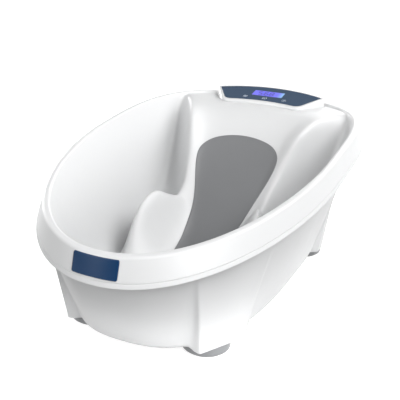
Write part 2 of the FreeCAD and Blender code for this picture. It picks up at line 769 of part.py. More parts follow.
def make_batteries():
    cells = []
    for x in battery_points():
        start = Vector(x - CELL_AAA_LENGTH / 2, BATTERY_Y, BATTERY_Z)
        can = Part.makeCylinder(CELL_AAA_RADIUS, CELL_AAA_LENGTH - CELL_AAA_NUB, start, Vector(1, 0, 0))
        nub = Part.makeCylinder(CELL_AAA_NUB_RADIUS, CELL_AAA_LENGTH, start, Vector(1, 0, 0))
        cells.append(can.fuse(nub))
    return Part.makeCompound(cells)


def make_battery_tray():
    half = 1.5 * BATTERY_PITCH + TRAY_WALL
    reach = CELL_AAA_RADIUS + TRAY_CLEARANCE
    outer = box(-half, half, BATTERY_Y - reach - TRAY_WALL, BATTERY_Y + reach, TRAY_Z, BATTERY_Z + TRAY_SIDE)
    room = (BATTERY_PITCH - TRAY_WALL) / 2.0
    rooms = []
    for x in battery_points():
        rooms.append(box(x - room, x + room, BATTERY_Y - reach, BATTERY_Y + reach + OVERCUT,
                         BATTERY_Z - reach, BATTERY_Z + TRAY_SIDE + OVERCUT))
    return outer.cut(rooms)


def make_battery_contacts():
    """A spring plate against each end of each cell's room."""
    contacts = []
    room = (BATTERY_PITCH - TRAY_WALL) / 2.0
    for x in battery_points():
        for start in (x - room, x + room - CONTACT_THICKNESS):
            contacts.append(box(start, start + CONTACT_THICKNESS, BATTERY_Y - CONTACT_HALF_WIDTH,
                                BATTERY_Y + CONTACT_HALF_WIDTH, BATTERY_Z - CONTACT_HALF_WIDTH,
                                BATTERY_Z + CONTACT_HALF_WIDTH))
    return Part.makeCompound(contacts)


def console_screws():
    screws = []
    for x, y in console_screw_points():
        seat = SEAT_Z - SEAT_THICKNESS
        screw = cylinder(SCREW_RADIUS, x, y, seat, SEAT_Z + CONSOLE_SCREW_BITE)
        screws.append(screw.fuse(cylinder(SCREW_HEAD_RADIUS, x, y, seat - SCREW_HEAD_HEIGHT, seat)))
    return Part.makeCompound(screws)


# ---------------------------------------------------------------- fittings in the tub


def make_recline_pad():
    """Soft grey sheet on the recliner, wide at the shoulders and narrow at the seat."""
    right = [Vector(x, y, 0) for x, y in PAD_OUTLINE]
    left = [Vector(-point.x, point.y, 0) for point in reversed(right[1:-1])]
    outline = closed_curve(right + left)
    prism = Part.Face(outline).extrude(UP)
    sheet = SEAT_FACE.extrude(Vector(0, 0, PAD_SHEET))
    sheet.translate(Vector(0, 0, PAD_LIFT))
    return one_solid(sheet.common(prism))


def make_badge_plate():
    low = BADGE_LOW_Z
    high = BADGE_LOW_Z + BADGE_HEIGHT
    block = box(-BADGE_HALF_WIDTH, BADGE_HALF_WIDTH, -FAR, 0.0, low, high)
    block = block.makeFillet(BADGE_ROUND, [edge for edge in block.Edges if edge.Length > FAR / 2.0])
    sheet = skirt_solid(-BADGE_THICKNESS).cut(skirt_solid(-BADGE_GLUE))
    return one_solid(sheet.common(block))


def make_drain_sleeve():
    outer = DRAIN_RADIUS + DRAIN_WALL
    return ring(outer, DRAIN_RADIUS, 0, DRAIN_Y, BODY_BOTTOM_Z + WALL + DRAIN_GAP, FLOOR_Z - WALL - DRAIN_GAP)


def make_drain_plug():
    low = FLOOR_Z + PLUG_LIFT
    head = cylinder(PLUG_HEAD_RADIUS, 0, DRAIN_Y, low, low + PLUG_HEAD_HEIGHT)
    middle = low + PLUG_HEAD_HEIGHT / 2.0
    rims = [edge for edge in head.Edges
            if edge.Length > PLUG_HEAD_RADIUS and edge.CenterOfMass.z > middle]
    head = head.makeFillet(PLUG_ROUND, rims)
    stem = cylinder(PLUG_RADIUS, 0, DRAIN_Y, low - PLUG_DEPTH, low + FUSE_SINK)
    groove = ring(PLUG_RADIUS + OVERCUT, PLUG_RADIUS - GROOVE_DEPTH, 0, DRAIN_Y,
                  low - GROOVE_LOW, low - GROOVE_HIGH)
    grip = box(-GRIP_HALF_LENGTH, GRIP_HALF_LENGTH, DRAIN_Y - GRIP_HALF_WIDTH, DRAIN_Y + GRIP_HALF_WIDTH,
               low + PLUG_HEAD_HEIGHT - FUSE_SINK, low + GRIP_HEIGHT)
    grip = grip.makeFillet(PLUG_ROUND, [edge for edge in grip.Edges if edge.CenterOfMass.z > low + OVERCUT])
    return head.fuse([stem, grip]).cut(groove).removeSplitter()


def make_drain_ring():
    low = FLOOR_Z + PLUG_LIFT
    return ring(DRAIN_RADIUS - RING_WALL_GAP, PLUG_RADIUS - GROOVE_DEPTH, 0, DRAIN_Y,
                low - GROOVE_LOW + RING_CLEARANCE, low - GROOVE_HIGH - RING_CLEARANCE)


def make_temperature_sensor():
    low = FLOOR_Z + SENSOR_SEAL
    cap = cylinder(SENSOR_RADIUS, 0, SENSOR_Y, low, low + SENSOR_CAP)
    middle = low + SENSOR_CAP / 2.0
    rims = [edge for edge in cap.Edges if edge.Length > SENSOR_RADIUS and edge.CenterOfMass.z > middle]
    cap = cap.makeFillet(SENSOR_ROUND, rims)
    stem = cylinder(SENSOR_STEM, 0, SENSOR_Y, low - SENSOR_STEM_DEPTH, low + FUSE_SINK)
    return cap.fuse(stem).removeSplitter()


def make_sensor_seal():
    return ring(SENSOR_RADIUS - SENSOR_SEAL_INSET, SENSOR_STEM + SENSOR_SEAL_GAP, 0, SENSOR_Y,
                FLOOR_Z, FLOOR_Z + SENSOR_SEAL)


def make_sensor_nut():
    top = FLOOR_Z - WALL
    return ring(SENSOR_RADIUS, SENSOR_STEM, 0, SENSOR_Y, top - SENSOR_NUT_HEIGHT, top)


# ---------------------------------------------------------------- build

save("inner_tub", make_inner_tub())
save("outer_shell", make_outer_shell())
save("shell_screws", shell_screws())
save("recline_pad", make_recline_pad())
save("badge_plate", make_badge_plate())

save("console_housing", make_console_housing())
save("console_gasket", make_console_gasket())
save("console_panel", make_console_panel())
save("lcd_glass", lcd_plate(LCD_LENGTH, LCD_WIDTH, LCD_TOP - LCD_GLASS, LCD_TOP))
save("lcd_backlight", lcd_plate(BACKLIGHT_LENGTH, BACKLIGHT_WIDTH, LCD_TOP - LCD_GLASS - BACKLIGHT_HEIGHT,
                                LCD_TOP - LCD_GLASS))
save("console_board", make_console_board())
save("key_switches", make_key_switches())
for key_name, (key_x, key_v) in key_points():
    save("key_" + key_name, make_key(key_x, key_v))
save("buzzer", make_buzzer())
save("console_screws", console_screws())
save("battery_tray", make_battery_tray())
save("battery_contacts", make_battery_contacts())
save("batteries", make_batteries())
save("battery_door", make_battery_door())

save("drain_sleeve", make_drain_sleeve())
save("drain_plug", make_drain_plug())
save("drain_ring", make_drain_ring())
save("temperature_sensor", make_temperature_sensor())
save("sensor_seal", make_sensor_seal())
save("sensor_nut", make_sensor_nut())

for foot_name, (foot_x, foot_y) in feet():
    save("foot_disc_" + foot_name, make_foot_disc(foot_x, foot_y))
    save("foot_pad_" + foot_name, cylinder(PAD_RADIUS, foot_x, foot_y, 0, PAD_HEIGHT))
    clip_low = PLATE_TOP + FOOT_HANG + CLIP_GAP
    clip = ring(CLIP_RADIUS, BOSS_RADIUS, foot_x, foot_y, clip_low, clip_low + CLIP_HEIGHT)
    save("foot_clip_" + foot_name, clip)
    save("load_cell_" + foot_name, make_load_cell(foot_x, foot_y))
save("load_cell_screws", cell_screws())
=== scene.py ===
"""Infant bath tub on weighing feet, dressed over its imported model.

Sizes are millimetres in the classes and become metres where a mesh is made. +X is the width,
-Y the foot end, +Y the head end with the console, +Z up, and the origin lies on the floor under
the middle of the tub.
"""

from __future__ import annotations

import json
import logging
import math
from dataclasses import dataclass
from enum import Enum
from typing import Sequence

import bpy
import numpy as np
from mathutils import Euler, Matrix, Vector


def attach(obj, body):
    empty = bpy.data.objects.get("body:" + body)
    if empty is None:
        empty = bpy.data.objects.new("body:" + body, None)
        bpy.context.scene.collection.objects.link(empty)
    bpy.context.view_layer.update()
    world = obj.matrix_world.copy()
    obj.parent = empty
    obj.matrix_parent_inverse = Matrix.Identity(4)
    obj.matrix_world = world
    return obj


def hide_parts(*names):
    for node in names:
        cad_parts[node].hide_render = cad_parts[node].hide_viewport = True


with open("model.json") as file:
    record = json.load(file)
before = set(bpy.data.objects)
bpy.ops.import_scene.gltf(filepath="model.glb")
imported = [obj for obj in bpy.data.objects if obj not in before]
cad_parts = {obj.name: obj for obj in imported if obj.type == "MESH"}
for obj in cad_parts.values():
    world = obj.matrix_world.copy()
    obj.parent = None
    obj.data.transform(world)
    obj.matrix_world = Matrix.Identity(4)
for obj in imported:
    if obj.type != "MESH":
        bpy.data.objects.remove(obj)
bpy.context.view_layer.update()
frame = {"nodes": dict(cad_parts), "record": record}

Array = np.ndarray
# (place, value) or (x, y) pairs, and (x, y, x, y) ends of straight strokes
Curve = tuple[tuple[float, float], ...]
Strokes = tuple[tuple[float, float, float, float], ...]
Colour = tuple[float, float, float]
Value = float | tuple[float, ...] | bpy.types.NodeSocket
# metres in a millimetre, and a number that keeps a division from having nothing to divide by
MM = 0.001
TINY = 1e-9
# degrees above which an edge stays crisp, on flat-sided and on rounded pieces
SHARP = 32.0
SOFT = 50.0
LOG = logging.getLogger("bath_tub")


class Body(Enum):
    """Moving bodies that new pieces ride on."""

    TUB = "tub"
    KEY_LEFT = "key_left"
    KEY_MIDDLE = "key_middle"
    KEY_RIGHT = "key_right"
    DOOR = "battery_door"


class Grain(Enum):
    """Fine relief of a finish."""

    POLISHED = "polished"
    MOULDED = "moulded"
    RUBBERY = "rubbery"
    BRUSHED = "brushed"


# ---------------------------------------------------------------- numbers and curves


def smoothstep(value: Array) -> Array:
    """Cubic ease from 0 to 1: t * t * (3 - 2 t), with t held between 0 and 1.

    Args:
        value: position along the ease.

    Returns:
        The eased values.
    """
    t = np.clip(value, 0.0, 1.0)
    return t * t * (3.0 - 2.0 * t)


def turn_share(y: Array, turn: tuple[float, float]) -> Array:
    """Share of a change that is done at y: an ease over the turn's (start, length)."""
    return smoothstep((y - turn[0]) / turn[1])


def smooth_max(first: Array, second: Array, reach: Array | float) -> Array:
    """Larger of two heights, with the crease between them rounded.

    Formula: max(a, b) + reach / 4 * h * h, where h falls from 1 at a = b to 0 at |a - b| = reach.

    Args:
        first: first height.
        second: second height.
        reach: difference of height over which the rounding acts.

    Returns:
        The rounded maximum.
    """
    safe = np.maximum(reach, 1e-6)
    h = np.clip(1.0 - np.abs(first - second) / safe, 0.0, 1.0)
    return np.maximum(first, second) + safe * h * h / 4.0


def hermite(t: Array, step: Array, ends: tuple[Array, Array],
            slopes: tuple[Array, Array]) -> Array:
    """Cubic that leaves one value with one slope and reaches another value with another slope.

    Formula: (2 t^3 - 3 t^2 + 1) a + (t^3 - 2 t^2 + t) s A + (3 t^2 - 2 t^3) b + (t^3 - t^2) s B.

    Args:
        t: place between the ends, from 0 to 1.
        step: distance s between the ends.
        ends: values a and b.
        slopes: slopes A and B.

    Returns:
        The values.
    """
    start = (2 * t**3 - 3 * t**2 + 1) * ends[0] + (t**3 - 2 * t**2 + t) * step * slopes[0]
    end = (3 * t**2 - 2 * t**3) * ends[1] + (t**3 - t**2) * step * slopes[1]
    return start + end


def monotone(points: Curve, at: Array) -> Array:
    """Monotone cubic curve through (place, value) pairs, level past its ends.

    Each inner tangent is the harmonic mean of the slopes beside it, or 0 where they disagree.

    Args:
        points: pairs in rising order of place.
        at: places to read.

    Returns:
        The curve's values.
    """
    table = np.asarray(points, dtype=float)
    slopes = np.diff(table[:, 1]) / np.diff(table[:, 0])
    product = slopes[:-1] * slopes[1:]
    total = slopes[:-1] + slopes[1:]
    inner = np.where(product > 0.0, 2.0 * product / np.where(total == 0.0, 1.0, total), 0.0)
    tangents = np.concatenate([[0.0], inner, [0.0]])
    place = np.clip(at, table[0, 0], table[-1, 0])
    index = np.clip(np.searchsorted(table[:, 0], place, side="right") - 1, 0, len(table) - 2)
    step = table[index + 1, 0] - table[index, 0]
    t = (place - table[index, 0]) / step
    ends = table[index, 1], table[index + 1, 1]
    return hermite(t, step, ends, (tangents[index], tangents[index + 1]))


def closed_spline(points: Array, count: int) -> Array:
    """Smooth closed curve through plan points.

    A periodic cubic through the points by chord length, whose tangents make its curvature
    continuous (one linear system), read at even steps of that length.

    Args:
        points: (n, 2) points in order round the curve.
        count: number of points to read.

    Returns:
        (count, 2) points of the curve.
    """
    size = len(points)
    after = np.roll(points, -1, axis=0)
    chord = np.linalg.norm(after - points, axis=1)
    before = np.roll(chord, 1)
    system = np.diag(2.0 * (chord + before))
    rows = np.arange(size)
    system[rows, (rows + 1) % size] += before
    system[rows, (rows - 1) % size] += chord
    slope = (after - points) / chord[:, None]
    target = 3.0 * (before[:, None] * slope + chord[:, None] * np.roll(slope, 1, axis=0))
    tangent = np.linalg.solve(system, target)
    knots = np.concatenate([[0.0], np.cumsum(chord)])
    place = np.linspace(0.0, knots[-1], count, endpoint=False)
    index = np.searchsorted(knots, place, side="right") - 1
    step = chord[index][:, None]
    t = (place - knots[index])[:, None] / step
    slopes = tangent[index], tangent[(index + 1) % size]
    return hermite(t, step, (points[index], after[index]), slopes)


def unit(vectors: Array) -> Array:
    """Vectors along the last axis at length 1."""
    return vectors / np.maximum(np.linalg.norm(vectors, axis=-1, keepdims=True), TINY)


def rounded_loft(rows: Sequence[Array], radii: Sequence[Array | float], steps: int = 6) -> Array:
    """Loft through control rows, with each inner row rounded off.

    At an inner row the section turns along a quadratic curve, which starts and ends at the
    rounding length from the corner, on the lines to the rows before and after.

    Args:
        rows: control rows, each (columns, 3).
        radii: rounding length of each inner row, one number or one per column.
        steps: points along each rounded corner.

    Returns:
        (rows, columns, 3) points.
    """
    parts = [rows[0][None]]
    t = np.linspace(0.0, 1.0, steps)[:, None, None]
    for before, here, after, radius in zip(rows, rows[1:], rows[2:], radii):
        length = np.broadcast_to(np.asarray(radius, dtype=float), (len(here),))[:, None]
        start = here + unit(before - here) * length
        end = here + unit(after - here) * length
        parts.append((1 - t) ** 2 * start + 2 * t * (1 - t) * here + t**2 * end)
    parts.append(rows[-1][None])
    return np.concatenate(parts)


def circle(radius: float, count: int) -> Array:
    """(count, 2) points of a circle: radius * (cos a, sin a)."""
    angle = np.linspace(0.0, 2.0 * np.pi, count, endpoint=False)
    return radius * np.stack([np.cos(angle), np.sin(angle)], axis=-1)


def rectangle(half_x: float, low_y: float, high_y: float) -> Array:
    """(4, 2) corners of a rectangle that is centred on x = 0."""
    return np.array([[-half_x, low_y], [half_x, low_y], [half_x, high_y], [-half_x, high_y]])


def rounded_box(half_x: float, half_y: float, radius: float, steps: int = 8) -> Array:
    """Outline of a rectangle with round corners: a quarter circle about each corner's centre.

    Args:
        half_x: half of the length along x.
        half_y: half of the length along y.
        radius: corner radius.
        steps: points along each corner.

    Returns:
        (4 * steps, 2) points.
    """
    turn = np.linspace(0.0, np.pi / 2.0, steps)
    angle = (np.arange(4)[:, None] * np.pi / 2.0 + turn).ravel()
    sign_x = np.repeat([1.0, -1.0, -1.0, 1.0], steps)
    sign_y = np.repeat([1.0, 1.0, -1.0, -1.0], steps)
    x = sign_x * (half_x - radius) + radius * np.cos(angle)
    y = sign_y * (half_y - radius) + radius * np.sin(angle)
    return np.stack([x, y], axis=-1)


def even_outline(outline: Array, step: float) -> Array:
    """Outline with points added on its long edges, so that no edge is longer than a step.

    Args:
        outline: (n, 2) points of a closed outline.
        step: longest edge.

    Returns:
        (m, 2) points along straight lines between the given ones.
    """
    after = np.roll(outline, -1, axis=0)
    counts = np.maximum(np.ceil(np.linalg.norm(after - outline, axis=1) / step).astype(int), 1)
    start = np.repeat(outline, counts, axis=0)
    run = np.repeat(after - outline, counts, axis=0)
    number = np.arange(counts.sum()) - np.repeat(np.cumsum(counts) - counts, counts)
    return start + run * (number / np.repeat(counts, counts))[:, None]


def level(outline: Array, z: Array | float) -> Array:
    """Plan outline set at a height, one number or one per point."""
    height = np.broadcast_to(np.asarray(z, dtype=float), outline.shape[:-1])
    return np.concatenate([outline, height[..., None]], axis=-1)


# ---------------------------------------------------------------- meshes


def shade(mesh: bpy.types.Mesh, sharp: float) -> None:
    """Shades a mesh smooth between edges sharper than an angle in degrees."""
    mesh.shade_smooth()
    mesh.set_sharp_from_angle(angle=math.radians(sharp))


def make_mesh(name: str, vertices: Array, faces: list[list[int]],
              sharp: float = SHARP) -> bpy.types.Object:
    """Object with its place in its mesh, smooth between edges sharper than an angle.

    Args:
        name: piece name.
        vertices: (n, 3) points in millimetres.
        faces: vertex numbers of each face.
        sharp: angle in degrees above which an edge stays crisp.

    Returns:
        The new object at the origin.
    """
    mesh = bpy.data.meshes.new(name)
    mesh.from_pydata((vertices * MM).tolist(), [], faces)
    shade(mesh, sharp)
    piece = bpy.data.objects.new(name, mesh)
    bpy.context.scene.collection.objects.link(piece)
    return piece


def make_surface(name: str, grid: Array, ring: bool = False,
                 sharp: float = SHARP) -> bpy.types.Object:
    """Closed surface on a grid that runs round its columns.

    Four-sided faces join each row to the next. The first and last rows close in a fan about
    their middle points, or on each other where the surface is a ring. The faces are turned to
    point outwards by the sign of the enclosed volume.

    Args:
        name: piece name.
        grid: (rows, columns, 3) points in millimetres.
        ring: the last row joins the first one.
        sharp: angle in degrees above which an edge stays crisp.

    Returns:
        The new object.
    """
    rows, columns, _ = grid.shape
    index = np.arange(rows * columns).reshape(rows, columns)
    lower, upper = (index, np.roll(index, -1, axis=0)) if ring else (index[:-1], index[1:])
    corners = [lower, upper, np.roll(upper, -1, axis=1), np.roll(lower, -1, axis=1)]
    quads = np.stack(corners, axis=-1).reshape(-1, 4)
    vertices = grid.reshape(-1, 3)
    fans = np.zeros((0, 3), dtype=int)
    if not ring:
        count = len(vertices)
        middles = grid[0].mean(axis=0)[None], grid[-1].mean(axis=0)[None]
        vertices = np.concatenate([vertices, *middles])
        first = np.stack([np.full(columns, count), index[0], np.roll(index[0], -1)], axis=-1)
        last = np.stack([np.full(columns, count + 1), np.roll(index[-1], -1), index[-1]], axis=-1)
        fans = np.concatenate([first, last])
    triangles = np.concatenate([quads[:, [0, 1, 2]], quads[:, [0, 2, 3]], fans])
    a, b, c = (vertices[triangles[:, k]] for k in range(3))
    if np.einsum("ij,ij->", a, np.cross(b, c)) < 0.0:
        quads, fans = quads[:, ::-1], fans[:, ::-1]
    return make_mesh(name, vertices, quads.tolist() + fans.tolist(), sharp)


def make_prism(name: str, outline: Array, low: float, high: float) -> bpy.types.Object:
    """Straight upright solid on a plan outline, between two heights."""
    return make_surface(name, np.stack([level(outline, low), level(outline, high)]))


def carve(piece: bpy.types.Object, cutters: Sequence[bpy.types.Object],
          sharp: float = SHARP) -> None:
    """Cuts solids out of a piece for good and removes them.

    Args:
        piece: closed piece that is cut.
        cutters: closed solids that take their shape out of it.
        sharp: angle in degrees above which an edge stays crisp.
    """
    for cutter in cutters:
        modifier = piece.modifiers.new("cut", "BOOLEAN")
        modifier.operation = "DIFFERENCE"
        modifier.solver = "EXACT"
        modifier.object = cutter
    graph = bpy.context.evaluated_depsgraph_get()
    mesh = bpy.data.meshes.new_from_object(piece.evaluated_get(graph))
    piece.modifiers.clear()
    piece.data = mesh
    shade(mesh, sharp)
    for cutter in cutters:
        bpy.data.objects.remove(cutter)


# ---------------------------------------------------------------- finishes


@dataclass
class Nodes:
    """Nodes of a material or of the world, added one at a time."""

    tree: bpy.types.NodeTree

    def fill(self, node: bpy.types.Node, inputs: dict[str, Value]) -> None:
        """Links each named input of a node to a socket, or sets it to a number or colour.

        Args:
            node: node whose inputs are filled.
            inputs: what goes into it, by the inputs' names.
        """
        for name, value in inputs.items():
            if isinstance(value, bpy.types.NodeSocket):
                self.tree.links.new(value, node.inputs[name])
            else:
                node.inputs[name].default_value = value

    def add(self, kind: str, output: str, inputs: dict[str, Value] | None = None,
            **settings: str) -> bpy.types.NodeSocket:
        """Adds a node.

        Args:
            kind: its type.
            output: name of the output that is read.
            inputs: what goes into it, by the inputs' names.
            settings: its options, which are set before its inputs.

        Returns:
            The socket of that output.
        """
        node = self.tree.nodes.new(kind)
        for name, value in settings.items():
            setattr(node, name, value)
        self.fill(node, inputs or {})
        return node.outputs[output]

    def place(self) -> bpy.types.NodeSocket:
        """Object coordinates."""
        return self.add("ShaderNodeTexCoord", "Object")

    def noise(self, place: bpy.types.NodeSocket, scale: float,
              detail: float) -> bpy.types.NodeSocket:
        """Noise value at a scale and with a number of finer octaves, read at a place socket."""
        inputs = {"Scale": scale, "Detail": detail, "Vector": place}
        return self.add("ShaderNodeTexNoise", "Fac", inputs)

    def blend(self, factor: bpy.types.NodeSocket, first: Sequence[float],
              second: Sequence[float]) -> bpy.types.NodeSocket:
        """Colour that runs from the first to the second as the factor runs from 0 to 1."""
        inputs = {"A": (*first, 1.0), "B": (*second, 1.0), "Factor": factor}
        return self.add("ShaderNodeMix", "Result", inputs, data_type="RGBA")


@dataclass(frozen=True)
class Look:
    """Anything that covers a piece: a material that is made once and then reused."""

    name: str

    def material(self) -> bpy.types.Material:
        """The Blender material, made at its first use.

        Returns:
            The material named after the look.
        """
        label = "finish_" + self.name
        known = bpy.data.materials.get(label)
        if known is not None:
            return known
        material = bpy.data.materials.new(label)
        material.use_nodes = True
        nodes = Nodes(material.node_tree)
        nodes.fill(nodes.tree.nodes["Principled BSDF"], self.inputs(nodes))
        return material

    def inputs(self, nodes: Nodes) -> dict[str, Value]:
        """What goes into the material's shader, by input name."""
        raise NotImplementedError


@dataclass(frozen=True)
class Finish(Look):
    """One procedural finish, with its colour, gloss and fine relief.

    The colour drifts a little between two tones over a wide noise, the roughness over a middle
    one, and the relief comes from a fine one, all read in object coordinates. Scales are waves
    per metre, a detail is a number of finer octaves, and the relief's depth is in metres.
    """

    colour: Colour
    roughness: float
    grain: Grain = Grain.MOULDED
    metallic: float = 0.0
    coat: float = 0.0
    drift: float = 0.03
    relief: float = 0.02
    grain_scale: float = 900.0
    specular: float = 0.5
    coat_roughness: float = 0.08
    drift_scale: float = 9.0
    drift_detail: float = 3.0
    wear: float = 0.15
    wear_scale: float = 60.0
    wear_detail: float = 4.0
    grain_detail: float = 2.0
    relief_depth: float = 0.0006
    scratch_stretch: float = 0.03

    def inputs(self, nodes: Nodes) -> dict[str, Value]:
        """Numbers, drifting colour, worn gloss and relief of the finish.

        Args:
            nodes: nodes of the material.

        Returns:
            What goes into its shader, by input name.
        """
        place = nodes.place()
        tone = nodes.noise(place, self.drift_scale, self.drift_detail)
        dark = [channel * (1.0 - self.drift) for channel in self.colour]
        light = [min(channel * (1.0 + self.drift), 1.0) for channel in self.colour]
        wear = {"To Min": self.roughness * (1.0 - self.wear),
                "To Max": min(self.roughness * (1.0 + self.wear), 1.0),
                "Value": nodes.noise(place, self.wear_scale, self.wear_detail)}
        return {"Metallic": self.metallic, "Coat Weight": self.coat,
                "Coat Roughness": self.coat_roughness, "Specular IOR Level": self.specular,
                "Base Color": nodes.blend(tone, dark, light),
                "Roughness": nodes.add("ShaderNodeMapRange", "Result", wear),
                "Normal": self._normal(nodes, place)}

    def _normal(self, nodes: Nodes, place: bpy.types.NodeSocket) -> bpy.types.NodeSocket:
        """Normal of the fine relief: even grains, or long scratches along x for brushed metal.

        Args:
            nodes: nodes of the material.
            place: socket of the object coordinates.

        Returns:
            The socket of the normal.
        """
        if self.grain is Grain.BRUSHED:
            stretch = {"Scale": (self.scratch_stretch, 1.0, 1.0), "Vector": place}
            place = nodes.add("ShaderNodeMapping", "Vector", stretch)
        height = nodes.noise(place, self.grain_scale, self.grain_detail)
        bump = {"Strength": self.relief, "Distance": self.relief_depth, "Height": height}
        return nodes.add("ShaderNodeBump", "Normal", bump)


@dataclass(frozen=True)
class LitDisplay(Look):
    """Back-lit display glass: violet light that turns to pale blue at one end."""

    name: str = "lit_display"
    violet: Colour = (0.12, 0.118, 0.49)
    blue: Colour = (0.17, 0.32, 0.46)
    turn_start: float = 0.020
    turn_end: float = 0.040
    strength: float = 0.75
    roughness: float = 0.12

    def inputs(self, nodes: Nodes) -> dict[str, Value]:
        """Gloss, and light whose colour is a ramp over object x in metres.

        Args:
            nodes: nodes of the material.

        Returns:
            What goes into its shader, by input name.
        """
        along = nodes.add("ShaderNodeSeparateXYZ", "X", {"Vector": nodes.place()})
        ramp = {"From Min": self.turn_start, "From Max": self.turn_end, "Value": along}
        share = nodes.add("ShaderNodeMapRange", "Result", ramp, interpolation_type="SMOOTHSTEP")
        colour = nodes.blend(share, self.violet, self.blue)
        return {"Roughness": self.roughness, "Emission Strength": self.strength,
                "Emission Color": colour, "Base Color": colour}


WHITE = (0.55, 0.554, 0.558)
GLOSS_WHITE = Finish(
    "gloss_white", WHITE, 0.42, Grain.POLISHED, drift=0.006, relief=0.015, grain_scale=420.0)
SATIN_WHITE = Finish(
    "satin_white", WHITE, 0.44, drift=0.006, relief=0.03, grain_scale=700.0, specular=0.2)
BEZEL_WHITE = Finish(
    "bezel_white", (0.57, 0.574, 0.578), 0.22, Grain.POLISHED, coat=0.3, drift=0.005, relief=0.012)
PAD_GREY = Finish(
    "pad_grey", (0.152, 0.155, 0.16), 0.5, Grain.RUBBERY, relief=0.12, grain_scale=1500.0)
BADGE_NAVY = Finish(
    "badge_navy", (0.005, 0.03, 0.085), 0.24, Grain.POLISHED, drift=0.05, relief=0.01, specular=0.2)
PANEL_NAVY = Finish(
    "panel_navy", (0.055, 0.081, 0.124), 0.12, Grain.POLISHED, coat=0.5, drift=0.04, relief=0.004)
PRINT_WHITE = Finish("print_white", (0.55, 0.62, 0.7), 0.4, drift=0.02, relief=0.01)
DIGIT_INK = Finish("digit_ink", (0.02, 0.015, 0.16), 0.3, drift=0.02, relief=0.0)
FOOT_GREY = Finish("foot_grey", (0.165, 0.17, 0.175), 0.3, Grain.POLISHED, coat=0.2, drift=0.02)
# dark rubber pad under each disc; its colour is also darkened past the rubber's own as painted
# shade, so the lit gap between disc and floor shows as a dark line
FOOT_RUBBER_PAINTED_SHADE = Finish(
    "foot_rubber", (0.06, 0.061, 0.063), 0.7, Grain.RUBBERY, drift=0.06, relief=0.25)
PLUG_GREY = Finish(
    "plug_grey", (0.27, 0.277, 0.285), 0.5, Grain.RUBBERY, relief=0.1, grain_scale=1500.0)
GASKET_GREY = Finish(
    "gasket_grey", (0.05, 0.05, 0.052), 0.65, Grain.RUBBERY, drift=0.06, relief=0.2)
TRAY_GREY = Finish("tray_grey", (0.16, 0.162, 0.166), 0.5, drift=0.05, relief=0.12)
STEEL = Finish(
    "stainless", (0.62, 0.62, 0.62), 0.26, Grain.BRUSHED, 1.0, drift=0.04, relief=0.08,
    grain_scale=2500.0)
CONTACT_STEEL = Finish(
    "plated_contact", (0.74, 0.72, 0.66), 0.22, Grain.BRUSHED, 1.0, drift=0.04, relief=0.05)
CELL_STEEL = Finish(
    "sprung_steel", (0.42, 0.43, 0.44), 0.34, Grain.BRUSHED, 1.0, drift=0.05, relief=0.1)
CELL_JACKET = Finish(
    "cell_jacket", (0.09, 0.095, 0.105), 0.3, metallic=0.4, drift=0.04, relief=0.03)
BOARD_GREEN = Finish("board_green", (0.012, 0.10, 0.035), 0.42, drift=0.12, relief=0.1)
SWITCH_BLACK = Finish("switch_black", (0.012, 0.012, 0.013), 0.45, drift=0.08, relief=0.1)
GUIDE_WHITE = Finish("light_guide", (0.62, 0.68, 0.9), 0.3, drift=0.02, relief=0.01)
FLOOR_WHITE = Finish("studio_floor", (0.4, 0.4, 0.4), 0.7, drift=0.0, relief=0.0)
LIT = LitDisplay()

SLOT_FINISHES: dict[str, Look] = {
    "tub_white": GLOSS_WHITE, "shell_white": SATIN_WHITE, "bezel_white": BEZEL_WHITE,
    "pad_grey": PAD_GREY, "badge_navy": BADGE_NAVY, "panel_navy": PANEL_NAVY,
    "key_navy": PANEL_NAVY, "lcd": LIT, "backlight": GUIDE_WHITE, "board_green": BOARD_GREEN,
    "switch_black": SWITCH_BLACK, "tray_grey": TRAY_GREY, "contact_steel": CONTACT_STEEL,
    "cell_jacket": CELL_JACKET, "steel": STEEL, "cell_steel": CELL_STEEL,
    "plug_grey": PLUG_GREY, "gasket_grey": GASKET_GREY, "foot_grey": FOOT_GREY,
    "foot_rubber": FOOT_RUBBER_PAINTED_SHADE,
}


def place_piece(piece: bpy.types.Object, finish: Look, body: str,
                replaced: str | None = None) -> None:
    """Gives a new piece its finish and its body, hides the node it stands in for, and reports it.

    Args:
        piece: new object.
        finish: finish of its whole surface.
        body: body that it moves with.
        replaced: node that it is shown in place of, if any.
    """
    piece.data.materials.clear()
    piece.data.materials.append(finish.material())
    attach(piece, body)
    if replaced is not None:
        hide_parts(replaced)
    mesh = piece.data
    LOG.info("%s: %d vertices, %d faces, on %s",
             piece.name, len(mesh.vertices), len(mesh.polygons), body)


# ---------------------------------------------------------------- the tub's forms


